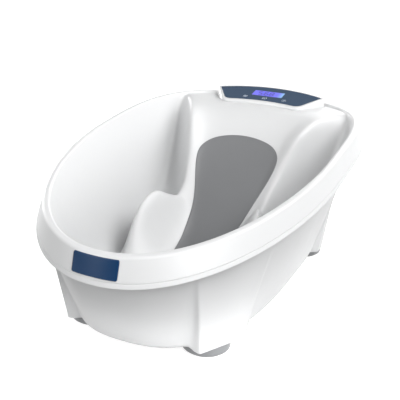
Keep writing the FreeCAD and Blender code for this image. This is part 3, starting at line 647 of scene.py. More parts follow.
@dataclass(frozen=True)
class TubForm:
    """Sizes and surfaces that the basin, the rim, the outer shell and the badge share."""

    crest_half_length: float = 385.8
    crest_half_width: float = 246.0
    widest_y: float = 28.5
    crest_powers: tuple[float, float] = (2.1, 3.2)
    crest_mid_z: float = 286.3
    crest_tilt: float = 0.1278
    crest_sag: float = 0.000161
    land_inner: float = -9.8
    land_outer: float = 1.5
    skirt_out: float = 14.2
    skirt_drop: float = 43.5
    seam_drop: float = 35.5
    wall: float = 3.0
    floor_z: float = 50.0
    floor_half_width: float = 165.0
    floor_foot_y: float = -310.0
    floor_head_y: float = 300.0
    drain: tuple[float, float] = (0.0, -235.0)
    drain_radius: float = 20.0
    drain_points: int = 64
    feet: tuple[tuple[str, float, float], ...] = (("front", 111.0, -221.7), ("rear", 133.6, 246.4))

    def crest_z(self, y: Array) -> Array:
        """Height of the rim over plan y: a parabola."""
        return self.crest_mid_z + self.crest_tilt * y - self.crest_sag * y * y

    def egg_radius(self, angle: Array, half_width: Array | float, foot_y: Array | float,
                   head_y: Array | float, powers: tuple[float, float]) -> Array:
        """Polar radius of an egg about (0, widest_y).

        Formula: (|cos a / width| ** p + |sin a / length| ** p) ** (-1 / p), with one length and
        power for the head half and another for the foot half.

        Args:
            angle: polar angle.
            half_width: half width of the egg.
            foot_y: plan y of its foot end.
            head_y: plan y of its head end.
            powers: power of the foot half and of the head half.

        Returns:
            The radius at each angle.
        """
        cosine, sine = np.cos(angle), np.sin(angle)
        length = np.where(sine >= 0.0, head_y - self.widest_y, self.widest_y - foot_y)
        power = np.where(sine >= 0.0, powers[1], powers[0])
        total = np.abs(cosine / half_width) ** power + np.abs(sine / length) ** power
        return total ** (-1.0 / power)

    def crest_radius(self, angle: Array, out: Array | float) -> Array:
        """Polar radius of the crest egg grown outwards by out."""
        half_width, reach = self.crest_half_width + out, self.crest_half_length + out
        return self.egg_radius(angle, half_width, -reach, reach, self.crest_powers)

    def plan(self, angle: Array, radius: Array) -> tuple[Array, Array]:
        """Plan x and y at a polar angle and radius about (0, widest_y)."""
        return radius * np.cos(angle), self.widest_y + radius * np.sin(angle)

    def crest_ring(self, angle: Array, out: float, drop: float) -> Array:
        """Closed row that runs parallel to the crest, out from it and a drop below it."""
        x, y = self.plan(angle, self.crest_radius(angle, out))
        return np.stack([x, y, self.crest_z(y) - drop], axis=-1)

    def skirt_place(self, drop: Array | float) -> Array | float:
        """Distance of the skirt's outer face from the crest at a drop below it: a straight line."""
        return self.land_outer + (self.skirt_out - self.land_outer) * drop / self.skirt_drop

    def drain_outline(self) -> Array:
        """Outline of the drain hole in plan."""
        return circle(self.drain_radius, self.drain_points) + self.drain


@dataclass(frozen=True)
class SeatForm:
    """The moulded seat: floor, recliner, side ridges with thigh humps, and side pockets.

    Profiles along the tub are (y, value) pairs, and a turn is the (start, length) in y over
    which a value changes.
    """

    centre: Curve = (
        (-60, 50), (0, 69), (60, 107), (100, 141), (140, 183), (180, 232), (205, 262), (230, 288),
        (258, 302), (295, 306.5), (400, 306.5))
    reach: Curve = (
        (-130, 112), (-60, 120), (-30, 118), (4, 111), (40, 98), (70, 92), (100, 92), (140, 100),
        (180, 116), (220, 135), (260, 154), (320, 183))
    ridge: Curve = (
        (-140, 50), (-115, 66), (-60, 132), (-30, 160), (4, 171.5), (40, 156), (70, 146),
        (100, 161), (140, 202), (180, 258), (200, 280), (240, 301), (300, 306.5), (400, 306.5))
    chute_power: float = 5.0
    chute_gain: float = 3.0
    chute_turn: tuple[float, float] = (20.0, 100.0)
    flank_width: float = 38.0
    flank_gain: float = 22.0
    flank_turn: tuple[float, float] = (40.0, 120.0)
    flank_edge: float = 0.18
    pocket: Curve = (
        (-60, 50), (0, 58), (80, 85), (160, 130), (220, 185), (260, 235), (290, 280), (315, 306.5),
        (400, 306.5))

    def height(self, x: Array, y: Array) -> Array:
        """Height of the seat over a plan point.

        Between the ridges it rises from the centre line to the ridge as a ** n * (n + 1 - n * a),
        with a the share of the way to the ridge. Outside it falls to the pocket as (1 - d) ** 2.
        There d is (sqrt(o * o + e * e) - e) / (sqrt(1 + e * e) - e), with o the share of the way
        across the flank and e its edge, so that the ridge has no crease.

        Args:
            x: plan x.
            y: plan y.

        Returns:
            The height.
        """
        centre, ridge = monotone(self.centre, y), monotone(self.ridge, y)
        reach, pocket = monotone(self.reach, y), monotone(self.pocket, y)
        across = np.minimum(np.abs(x) / reach, 1.0)
        power = self.chute_power + self.chute_gain * turn_share(y, self.chute_turn)
        chute = centre + (ridge - centre) * across**power * (power + 1.0 - power * across)
        width = self.flank_width + self.flank_gain * turn_share(y, self.flank_turn)
        out = np.clip((np.abs(x) - reach) / width, 0.0, 1.0)
        edge = self.flank_edge
        whole = math.sqrt(1.0 + edge * edge) - edge
        drop = (np.sqrt(out * out + edge * edge) - edge) / whole
        side = pocket + (ridge - pocket) * (1.0 - drop) ** 2
        return np.where(np.abs(x) <= reach, chute, side)


@dataclass
class Basin:
    """Inner tub in one closed skin: seat and walls, rim, skirt down to the seam, and underside.

    A share is a part of the way from the middle to the rim, a stride of n keeps every nth row,
    and a cut is the (low, high) height of a cutter. The notch is what its cut for the battery
    door has over the bezel's on either side.
    """

    tub: TubForm
    seat: SeatForm
    console: ConsoleForm
    columns: int = 448
    first_share: float = 0.012
    middle_share: float = 0.6
    middle_rows: int = 56
    wall_rows: int = 72
    corner: float = 46.0
    pocket_corner: float = 70.0
    pocket_turn: tuple[float, float] = (-80.0, 110.0)
    corner_fade: float = 110.0
    rim_start: float = 8.0
    rim_rounding: tuple[float, ...] = (4.0, 5.0, 0.8, 0.4, 1.0)
    dry_stride: int = 4
    drain_cut: tuple[float, float] = (30.0, 60.0)
    clearance: float = 0.3
    notch: float = 1.0
    sharp: float = 70.0

    def inside(self, angle: Array) -> Array:
        """Rows of the wet surface, from its middle out to just under the rim.

        Height is the rounded maximum of the seat and the slanting wall, and the rounding fades
        out towards the crest.

        Args:
            angle: polar angles of the columns.

        Returns:
            (rows, columns, 3) points.
        """
        form = self.tub
        top = form.crest_radius(angle, form.land_inner)
        low = form.egg_radius(angle, form.floor_half_width, form.floor_foot_y, form.floor_head_y,
                              form.crest_powers)
        crest = form.crest_z(form.plan(angle, top)[1])
        slope = (crest - form.floor_z) / (top - low)
        middle = np.linspace(self.first_share, self.middle_share, self.middle_rows)
        outer = np.linspace(self.middle_share, 1.0, self.wall_rows)[1:]
        share = np.concatenate([middle, outer])[:, None]
        radius = share * (top - self.rim_start / slope)
        x, y = form.plan(angle, radius)
        wall = form.floor_z + (radius - low) * slope
        seat = self.seat.height(x, y)
        room = crest - np.maximum(seat, wall)
        reach = self.corner + (self.pocket_corner - self.corner) * turn_share(y, self.pocket_turn)
        height = smooth_max(seat, wall, reach * np.clip(room / self.corner_fade, 0.0, 1.0))
        return np.stack([x, y, height], axis=-1)

    @staticmethod
    def normals(grid: Array) -> Array:
        """Upward unit normals of a grid: the cross product of its steps along rows and columns.

        Args:
            grid: (rows, columns, 3) points, closed round the columns.

        Returns:
            (rows, columns, 3) normals.
        """
        along = np.gradient(grid, axis=0)
        around = np.roll(grid, -1, axis=1) - np.roll(grid, 1, axis=1)
        normal = unit(np.cross(around, along))
        return normal * np.sign(normal[..., 2:3] + TINY)

    def build(self) -> bpy.types.Object:
        """Makes the basin.

        Returns:
            The closed piece, with its drain hole and the console's seat cut.
        """
        form, console = self.tub, self.console
        angle = np.linspace(0.0, 2.0 * np.pi, self.columns, endpoint=False)
        wet = self.inside(angle)
        seam = form.skirt_place(form.seam_drop)
        places = ((form.land_inner, 0.0), (form.land_outer, 0.0), (seam, form.seam_drop),
                  (seam - form.wall, form.seam_drop), (form.land_outer - form.wall, form.wall),
                  (form.land_inner + form.wall, form.wall))
        rings = [form.crest_ring(angle, out, drop) for out, drop in places]
        rim = rounded_loft([wet[-1], *rings], self.rim_rounding)
        dry = (wet - form.wall * self.normals(wet))[::-self.dry_stride]
        piece = make_surface("basin", np.concatenate([wet, rim[1:], dry]), sharp=self.sharp)
        points, normals = console.outline()
        seat = points + normals * (console.base_margin + self.clearance)
        door = rectangle(console.door_half_width + self.notch, *console.door_y)
        door_z = console.seat_z + self.clearance
        cutters = [make_prism("drain_cutter", form.drain_outline(), *self.drain_cut),
                   make_prism("seat_cutter", seat, console.seat_z, console.high_z),
                   make_prism("door_cutter", door, door_z, console.high_z)]
        carve(piece, cutters, self.sharp)
        return piece


@dataclass
class OuterShell:
    """Outer body with its flange under the rim and four legs that swell out of it.

    Each leg is given by its corners at its bottom and at its top, on the +X side. The fan is
    the degrees by which closer columns stand beside each corner line of a leg.
    """

    tub: TubForm
    top_out: float = 2.0
    top_drop: float = 40.0
    bottom_z: float = 22.0
    bottom_half_width: float = 173.0
    bottom_foot_y: float = -312.0
    bottom_head_y: float = 318.0
    bottom_powers: tuple[float, float] = (2.6, 4.0)
    bottom_edge: float = 10.0
    leg_bottom_z: float = 20.0
    leg_top_z: float = 185.0
    leg_corner: float = 4.0
    leg_edge: float = 1.6
    leg_fade: float = 15.0
    blend: float = 9.0
    search_start: float = 60.0
    search_steps: int = 60
    search_stride: float = 0.9
    body_lean: float = 0.92
    seam_gap: float = 0.4
    lip_rounding: tuple[float, ...] = (0.7, 1.2, 2.0)
    lip_row: int = 3
    floor_inset: float = 1.0
    base_columns: int = 300
    column_fan: tuple[float, ...] = (-2.2, -1.5, -0.9, -0.5, -0.22, 0.0, 0.22, 0.5, 0.9, 1.5, 2.2)
    column_gap: float = 2.4
    side_rows: int = 90
    base_row: int = 84
    inner_stride: int = 6
    plate_rows: int = 26
    plate_middle: float = 0.02
    plate_stride: int = 3
    plate_step: float = 4.0
    cut: tuple[float, float] = (10.0, 30.0)
    foot_hole: float = 11.0
    foot_points: int = 40
    sharp: float = 40.0
    front_leg: tuple[Curve, ...] = (
        ((77, -267), (127, -282.5), (159.5, -222.5), (166.5, -171.5), (140, -155), (72, -178)),
        ((72, -290), (136, -321), (171.5, -255), (200, -187), (150, -150), (70, -170)))
    rear_leg: tuple[Curve, ...] = (
        ((180, 208), (181, 240), (150, 298), (96, 300), (88, 214), (150, 196)),
        ((208, 199), (202, 240), (169, 303), (98, 321), (88, 203), (150, 177)))
    front_corners: tuple[int, ...] = (1, 2, 3)
    rear_corners: tuple[int, ...] = (0, 1, 2)

    def corner_lines(self) -> Array:
        """Corner lines of all four legs that stand outside the body.

        Returns:
            (lines, 2, 2) points: the bottom and the top of each line in plan.
        """
        front = np.asarray(self.front_leg, dtype=float)[:, list(self.front_corners)]
        rear = np.asarray(self.rear_leg, dtype=float)[:, list(self.rear_corners)]
        right = np.concatenate([front, rear], axis=1)
        return np.concatenate([right, right * [-1.0, 1.0]], axis=1).swapaxes(0, 1)

    def leg_share(self, z: Array) -> Array:
        """Share of the way up a leg at a height, 0 at its bottom and 1 at its top."""
        return np.clip((z - self.leg_bottom_z) / (self.leg_top_z - self.leg_bottom_z), 0.0, 1.0)

    def columns(self) -> Array:
        """Polar angles of the columns at the legs' tops.

        Even ones, with closer ones added on each corner line and beside it.

        Returns:
            The angles in rising order.
        """
        even = np.linspace(0.0, 2.0 * np.pi, self.base_columns, endpoint=False)
        top = self.corner_lines()[:, 1]
        corners = np.arctan2(top[:, 1] - self.tub.widest_y, top[:, 0])
        close = (corners[:, None] + np.radians(self.column_fan)).ravel() % (2.0 * np.pi)
        apart = np.abs((even[:, None] - corners + np.pi) % (2.0 * np.pi) - np.pi).min(axis=1)
        return np.sort(np.concatenate([even[apart > np.radians(self.column_gap)], close]))

    def turned(self, angle: Array, z: Array) -> Array:
        """Polar angles of the columns at a height, which follow the legs' corner lines down.

        Each corner line turns by its own angle from its top to that height. A column between
        two lines turns by the mean of theirs, weighted by its nearness to each.

        Args:
            angle: angles of the columns at the legs' tops.
            z: heights, (rows, columns).

        Returns:
            (rows, columns) angles.
        """
        lines = self.corner_lines()
        run = (lines[:, 1] - lines[:, 0])[:, :, None, None]
        place = lines[:, 0, :, None, None] + run * self.leg_share(z)
        turn = np.arctan2(place[:, 1] - self.tub.widest_y, place[:, 0])
        top = np.arctan2(lines[:, 1, 1] - self.tub.widest_y, lines[:, 1, 0])
        shift = turn - top[:, None, None]
        order = np.argsort(top % (2.0 * np.pi))
        knots = (top % (2.0 * np.pi))[order]
        around = np.concatenate([[knots[-1] - 2.0 * np.pi], knots, [knots[0] + 2.0 * np.pi]])
        rows = np.eye(len(order))
        weights = np.stack([np.interp(angle, around, [row[-1], *row, row[0]]) for row in rows])
        return angle + (weights[:, None, :] * shift[order]).sum(axis=0)

    def leg_distance(self, leg: tuple[Curve, ...], x: Array, y: Array, z: Array) -> Array:
        """Distance from a leg's side, negative inside it.

        The leg's outline at a height lies on straight lines between its corners at the bottom
        and at the top. The distance is the largest one to the lines of its edges, with the
        corner between two of them rounded.

        Args:
            leg: corners at the bottom and at the top, on the +X side, anticlockwise.
            x: plan x, of either sign.
            y: plan y.
            z: height.

        Returns:
            The signed distance.
        """
        low, high = (np.asarray(corners, dtype=float)[:, :, None, None] for corners in leg)
        start = low + (high - low) * self.leg_share(z)
        run = np.roll(start, -1, axis=0) - start
        side = (np.abs(x) - start[:, 0]) * run[:, 1] - (y - start[:, 1]) * run[:, 0]
        side = side / np.hypot(run[:, 0], run[:, 1])
        distance = side[0]
        for other in side[1:]:
            distance = smooth_max(distance, other, self.leg_corner)
        return distance

    def body_radius(self, angle: Array, z: Array) -> Array:
        """Polar radius of the plain body: a straight line from its bottom egg to its top one.

        Args:
            angle: polar angles.
            z: heights.

        Returns:
            The radii.
        """
        form = self.tub
        top = form.crest_radius(angle, self.top_out)
        top_z = form.crest_z(form.plan(angle, top)[1]) - self.top_drop
        low = form.egg_radius(angle, self.bottom_half_width, self.bottom_foot_y, self.bottom_head_y,
                              self.bottom_powers)
        return low + (top - low) * (z - self.bottom_z) / (top_z - self.bottom_z)

    def radius(self, angle: Array, z: Array) -> Array:
        """Polar radius of the body with its legs.

        A point walks in from outside by its distance to the shape, again and again, until it
        lies on it. That distance is the rounded minimum of the distances to body and legs. The
        body's is the radial one, made shorter for the lean of its side.

        Args:
            angle: polar angles, (rows, columns).
            z: heights, (rows, columns).

        Returns:
            (rows, columns) radii.
        """
        body = self.body_radius(angle, z)
        radius = body + self.search_start
        for _ in range(self.search_steps):
            x, y = self.tub.plan(angle, radius)
            distance = (radius - body) * self.body_lean
            for leg in (self.front_leg, self.rear_leg):
                distance = -smooth_max(-distance, -self.leg_distance(leg, x, y, z), self.blend)
            radius = radius - distance * self.search_stride
        return radius

    def build(self) -> bpy.types.Object:
        """Makes the outer shell.

        Returns:
            The closed piece with the drain outlet and the four foot holes cut.
        """
        form = self.tub
        angle = self.columns()
        top = form.plan(angle, form.crest_radius(angle, self.top_out))[1]
        start_z = form.crest_z(top) - form.skirt_drop
        share = np.linspace(0.0, 1.0, self.side_rows)[:, None]
        side_z = start_z - (start_z - self.bottom_z) * share
        turn = self.turned(angle, side_z)
        side_radius = self.radius(turn, side_z)
        side = self.rows(turn, side_radius, side_z)
        swell = side_radius[-1] - self.body_radius(turn[-1], side_z[-1])
        out = smoothstep(swell / self.leg_fade)
        corner = side[-1] - [0.0, 0.0, self.bottom_z - self.leg_bottom_z] * out[:, None]
        middle = np.array([0.0, form.widest_y, 0.0])
        inward = unit((side[-1] - middle) * [1.0, 1.0, 0.0])
        edge = self.bottom_edge + (self.leg_edge - self.bottom_edge) * out
        floor_row = corner - inward * (edge + self.floor_inset)[:, None]
        lip_drop = form.seam_drop + self.seam_gap
        lip = form.skirt_place(lip_drop)
        places = (lip - form.wall, lip_drop), (lip, lip_drop), (form.skirt_out, form.skirt_drop)
        lip_rows = [form.crest_ring(angle, *place) for place in places]
        lip_rows = rounded_loft([*lip_rows, side[0], side[self.lip_row]], self.lip_rounding)
        base = rounded_loft([side[self.base_row], corner, floor_row], [edge])
        shrink = np.linspace(1.0, self.plate_middle, self.plate_rows)[1:, None, None]
        bottom = middle + (floor_row - middle) * shrink
        bottom[..., 2] = self.plate_height(bottom[..., 0], bottom[..., 1])
        inner_bottom = bottom[::-self.plate_stride] + [0.0, 0.0, form.wall]
        inner = slice(None, None, -self.inner_stride)
        inner_z = np.maximum(side_z[inner], self.bottom_z + form.wall)
        inside = self.rows(turn[inner], side_radius[inner] - form.wall, inner_z)
        outside = side[self.lip_row + 1:self.base_row]
        grid = np.concatenate([inner_bottom, inside, lip_rows, outside, base, bottom])
        piece = make_surface("outer_body", grid, sharp=self.sharp)
        places = [(sign * x, y) for _, x, y in form.feet for sign in (1.0, -1.0)]
        holes = [circle(self.foot_hole, self.foot_points) + place for place in places]
        cutters = [make_prism("cutter", hole, *self.cut) for hole in (form.drain_outline(), *holes)]
        carve(piece, cutters, self.sharp)
        return piece

    def rows(self, angle: Array, radius: Array, z: Array) -> Array:
        """(rows, columns, 3) points at polar angles, radii and heights."""
        return np.stack([*self.tub.plan(angle, radius), z], axis=-1)

    def plate_height(self, x: Array, y: Array) -> Array:
        """Height of the underside: level, and a step lower where a leg stands.

        Args:
            x: plan x.
            y: plan y.

        Returns:
            The height.
        """
        z = np.full(x.shape, self.leg_bottom_z)
        legs = self.front_leg, self.rear_leg
        gap = np.minimum(*(self.leg_distance(leg, x, y, z) for leg in legs))
        drop = self.bottom_z - self.leg_bottom_z
        return self.bottom_z - drop * smoothstep(-gap / self.plate_step + 0.5)


@dataclass
class ReclinePad:
    """Grey elastomer sheet that lies in the recliner."""

    seat: SeatForm
    lift: float = 0.1
    thickness: float = 2.2
    edge: float = 3.0
    edge_height: float = 0.15
    columns: int = 260
    first_share: float = 0.02
    middle_share: float = 0.93
    middle_rows: int = 60
    edge_share: float = 0.07
    edge_rows: int = 10
    edge_power: float = 1.6
    lower_stride: int = 3
    middle: tuple[float, float] = (0.0, 80.0)
    right: Curve = (
        (0, 199), (45, 195), (76, 183), (89, 162), (85, 140), (68, 101), (55, 45), (51, 0),
        (51, -50), (42, -84), (0, -98))

    def build(self) -> bpy.types.Object:
        """Makes the pad as an upper and a lower skin over the seat.

        Rows shrink the outline towards its middle. The upper skin stands the sheet's thickness
        over the seat and rounds down to it over the edge width as a quarter ellipse.

        Returns:
            The closed piece.
        """
        half = np.asarray(self.right, dtype=float)
        left = half[1:-1][::-1] * [-1.0, 1.0]
        outline = closed_spline(np.concatenate([half, left]), self.columns)
        middle = np.asarray(self.middle)
        reach = np.linalg.norm(outline - middle, axis=1)
        inner = np.linspace(self.first_share, self.middle_share, self.middle_rows)
        outer = self.edge_share * np.linspace(1.0, 0.0, self.edge_rows)[1:] ** self.edge_power
        share = np.concatenate([inner, 1.0 - outer])
        plan = middle + (outline - middle) * share[:, None, None]
        base = self.seat.height(plan[..., 0], plan[..., 1]) + self.lift
        inset = np.clip((1.0 - share[:, None]) * reach / self.edge, 0.0, 1.0)
        ellipse = np.sqrt(np.clip(1.0 - (1.0 - inset) ** 2, 0.0, 1.0))
        height = self.thickness * (self.edge_height + (1.0 - self.edge_height) * ellipse)
        upper, lower = level(plan, base + height), level(plan, base)[::-1]
        grid = np.concatenate([upper, lower[::self.lower_stride], lower[-1:]])
        return make_surface("recline_sheet", grid, sharp=SOFT)


@dataclass
class Badge:
    """Bare gloss plate that follows the skirt at the foot end."""

    tub: TubForm
    half_width: float = 39.5
    low_z: float = 178.5
    high_z: float = 209.5
    corner: float = 3.0
    thickness: float = 1.6
    edge: float = 0.7
    edge_share: float = 0.3
    edge_drop: float = 0.2
    lift: float = 0.1
    step: float = 3.0
    first_share: float = 0.05
    rows: int = 12
    back_stride: int = 3
    passes: int = 6

    def skirt_y(self, x: Array, z: Array, out: float) -> Array:
        """Plan y of the skirt's foot end over x at height z, moved out along the egg.

        The drop below the crest depends on y itself, so the value is improved a few times.

        Args:
            x: plan x.
            z: height.
            out: distance outside the skirt.

        Returns:
            The plan y.
        """
        form = self.tub
        y = np.full(np.broadcast(x, z).shape, -form.crest_half_length)
        power = form.crest_powers[0]
        for _ in range(self.passes):
            grow = form.skirt_place(form.crest_z(y) - z) + out
            length = form.widest_y + form.crest_half_length + grow
            width = form.crest_half_width + grow
            y = form.widest_y - length * (1.0 - np.abs(x / width) ** power) ** (1.0 / power)
        return y

    def build(self) -> bpy.types.Object:
        """Makes the plate: a back on the skirt and a front with a small round edge.

        Returns:
            The closed piece.
        """
        half_z = (self.high_z - self.low_z) / 2.0
        middle = (self.high_z + self.low_z) / 2.0
        outline = even_outline(rounded_box(self.half_width, half_z, self.corner), self.step)
        toward = unit(outline) * self.edge
        share = np.linspace(self.first_share, 1.0, self.rows)[:, None, None]
        front, back = (outline - toward) * share, outline * share[::-self.back_stride]
        edge = [outline - toward * self.edge_share, outline, outline]
        plan = np.concatenate([front, edge, back])
        edge_out = self.thickness - self.edge_drop, self.thickness - self.edge
        out = np.concatenate([np.full(len(front), self.thickness), edge_out,
                              np.full(1 + len(back), self.lift)])[:, None]
        x, z = plan[..., 0], plan[..., 1] + middle
        grid = np.stack([x, self.skirt_y(x, z, out), z], axis=-1)
        return make_surface("badge_face", grid, sharp=SOFT)


# ---------------------------------------------------------------- console


@dataclass(frozen=True)
class ConsoleForm:
    """Outline and tilted plane of the console, which lies low at its foot side.

    A margin is a distance outside the glass in plan, smaller at high_z than at seat_z because
    the bezel's side leans. The door sizes are those of the battery opening.
    """

    tilt: float = math.radians(12.0)
    low_y: float = 293.0
    low_z: float = 312.5
    corner_x: float = 84.5
    corner_y: float = 288.0
    arch_y: float = 298.5
    tip_x: float = 121.5
    tip_y: float = 348.5
    top_y: float = 373.0
    corner_round: float = 18.0
    tip_round: float = 2.5
    glass: float = 1.8
    proud: float = 0.6
    base_margin: float = 9.0
    high_margin: float = 3.0
    high_z: float = 345.0
    seat_z: float = 305.0
    gasket: float = 0.8
    door_half_width: float = 71.0
    door_y: tuple[float, float] = (349.0, 420.0)
    door_z: tuple[float, float] = (306.0, 319.5)
    arc_points: tuple[int, int, int, int] = (24, 16, 12, 30)
    side_points: int = 18

    def plane_z(self, y: Array) -> Array:
        """Height of the glass's top face over plan y."""
        return self.low_z + math.tan(self.tilt) * (y - self.low_y)

    def up_slope(self, y: float) -> float:
        """Distance up the tilted glass to the line above plan y."""
        return (y - self.low_y) / math.cos(self.tilt)

    def place(self, flat: Array, height: Array | float) -> Array:
        """Carries points on the tilted glass into the tub's frame.

        Args:
            flat: points as (x, distance up the glass).
            height: their height over the glass.

        Returns:
            (..., 3) points.
        """
        x, v = flat[..., 0], flat[..., 1]
        y = self.low_y + v * math.cos(self.tilt) - height * math.sin(self.tilt)
        z = self.low_z + v * math.sin(self.tilt) + height * math.cos(self.tilt)
        return np.stack([x, y, z], axis=-1)

    @staticmethod
    def arc(centre: Array, radius: float, start: float, end: float, count: int,
            outward: float = 1.0) -> tuple[Array, Array]:
        """Arc in plan: centre + radius * (cos a, sin a), with a from start to end.

        Args:
            centre: middle of its circle.
            radius: radius of its circle.
            start: first angle in radians.
            end: last angle in radians.
            count: number of points.
            outward: 1 where the outline's outside is away from the centre, else -1.

        Returns:
            (count, 2) points and their outward normals.
        """
        angle = np.linspace(start, end, count)
        ray = np.stack([np.cos(angle), np.sin(angle)], axis=-1)
        return centre + radius * ray, outward * ray

    @staticmethod
    def fillet_centre(corner: Array, along: Array, inward: Array, centre: Array, radius: float,
                      size: float) -> Array:
        """Centre of a circle that touches a line and lies at a radius from another centre.

        Args:
            corner: point where the line starts.
            along: unit direction of the line.
            inward: unit normal of the line, towards the circle.
            centre: the other centre.
            radius: distance between the two centres.
            size: radius of the circle.

        Returns:
            The circle's centre nearest to the corner.
        """
        base = corner + inward * size - centre
        half = float(base @ along)
        root = math.sqrt(half * half - float(base @ base) + radius * radius)
        step = min((-half - root, -half + root), key=abs)
        return centre + base + along * step

    def outline(self) -> tuple[Array, Array]:
        """Closed outline of the glass in plan, with its outward normals.

        One half runs along the arched foot edge, round the low corner, up the slanted side,
        round the tip and along the arched head edge, and the other half mirrors it.

        Returns:
            (n, 2) points and (n, 2) normals.
        """
        sag_foot, sag_head = self.arch_y - self.corner_y, self.top_y - self.tip_y
        foot_radius = (self.corner_x**2 + sag_foot**2) / (2.0 * sag_foot)
        head_radius = (self.tip_x**2 + sag_head**2) / (2.0 * sag_head)
        foot = np.array([0.0, self.arch_y - foot_radius])
        head = np.array([0.0, self.top_y - head_radius])
        corner, tip = np.array([self.corner_x, self.corner_y]), np.array([self.tip_x, self.tip_y])
        along = unit(tip - corner)
        inward = np.array([-along[1], along[0]])
        low_round, high_round = self.corner_round, self.tip_round
        low = self.fillet_centre(corner, along, inward, foot, foot_radius + low_round, low_round)
        high = self.fillet_centre(tip, -along, inward, head, head_radius - high_round, high_round)
        foot_turn = math.atan2(*(low - foot)[::-1])
        side_turn = math.atan2(-inward[1], -inward[0])
        head_turn = math.atan2(*(high - head)[::-1])
        counts = self.arc_points
        foot_arc = self.arc(foot, foot_radius, math.pi / 2.0, foot_turn, counts[0], -1.0)
        low_arc = self.arc(low, low_round, foot_turn - math.pi, side_turn, counts[1])
        high_arc = self.arc(high, high_round, side_turn, head_turn, counts[2])
        head_arc = self.arc(head, head_radius, head_turn, math.pi / 2.0, counts[3])
        start, end = low - inward * low_round, high - inward * high_round
        line = start + (end - start) * np.linspace(0.0, 1.0, self.side_points)[1:-1, None]
        side = line, np.broadcast_to(-inward, line.shape)
        halves = (np.concatenate([first[:-1], *rest, last[1:]])
                  for first, *rest, last in zip(foot_arc, low_arc, side, high_arc, head_arc))
        points, normals = (np.concatenate([half, half[1:-1][::-1] * [-1.0, 1.0]])
                           for half in halves)
        return points, normals

    def ring(self, margin: Array | float, over: float) -> Array:
        """Closed row that runs round the outline.

        Args:
            margin: distance outside the outline, in plan.
            over: height over the glass's top face.

        Returns:
            (n, 3) points.
        """
        points, normals = self.outline()
        plan = points + normals * margin
        return level(plan, self.plane_z(plan[:, 1]) + over)

    def side_margin(self, z: Array | float) -> Array | float:
        """Margin of the bezel's leaning side at a height: a straight line."""
        lean = (self.base_margin - self.high_margin) / (self.high_z - self.seat_z)
        return self.base_margin - lean * (z - self.seat_z)


DIGIT_BARS = {"5": "afgcd", "6": "afgcde", "8": "abcdefg"}


@dataclass(frozen=True)
class DigitForm:
    """Reading of the display in seven-bar digits, and their sizes."""

    reading: str = "5.68"
    start_x: float = -18.5
    pitch: float = 12.6
    height: float = 17.4
    width: float = 9.2
    bar: float = 2.4
    point: float = 1.15
    gap: float = 0.2
    spread: float = 0.6
    dot_radius: float = 1.0
    dot_points: int = 6
    dot_back: float = 5.9
    dot_pitch: float = 1.6

    def bars(self) -> dict[str, tuple[Array, float, float]]:
        """Bars of a digit about its middle, each the same pointed hexagon, lying or upright.

        Returns:
            Outline of each bar and its place in x and y, by its usual letter.
        """
        half = (self.width - self.bar) / 2.0
        flat = half - self.point
        lie = np.array([[-half, 0.0], [-flat, self.point], [flat, self.point], [half, 0.0],
                        [flat, -self.point], [-flat, -self.point]])
        stretch = (self.height / 2.0 - self.bar / 2.0) / (self.width - self.bar)
        stand = lie[:, ::-1] * [1.0, stretch]
        top, quarter, side = self.height / 2.0, self.height / 4.0 - self.gap, half + self.spread
        return {"a": (lie, 0.0, top), "g": (lie, 0.0, 0.0), "d": (lie, 0.0, -top),
                "b": (stand, side, quarter), "c": (stand, side, -quarter),
                "f": (stand, -side, quarter), "e": (stand, -side, -quarter)}

    def outlines(self) -> Array:
        """Outlines of the whole reading along x, from its start.

        Returns:
            (bars, 6, 2) points.
        """
        bars, shapes, x = self.bars(), [], self.start_x
        for sign in self.reading:
            if sign == ".":
                dot = circle(self.dot_radius, self.dot_points)
                shapes.append(dot + [x - self.dot_back, -self.height / 2.0])
                x += self.dot_pitch
            else:
                lit = (bars[letter] for letter in DIGIT_BARS[sign])
                shapes += [outline + [x + across, up] for outline, across, up in lit]
                x += self.pitch
        return np.stack(shapes)


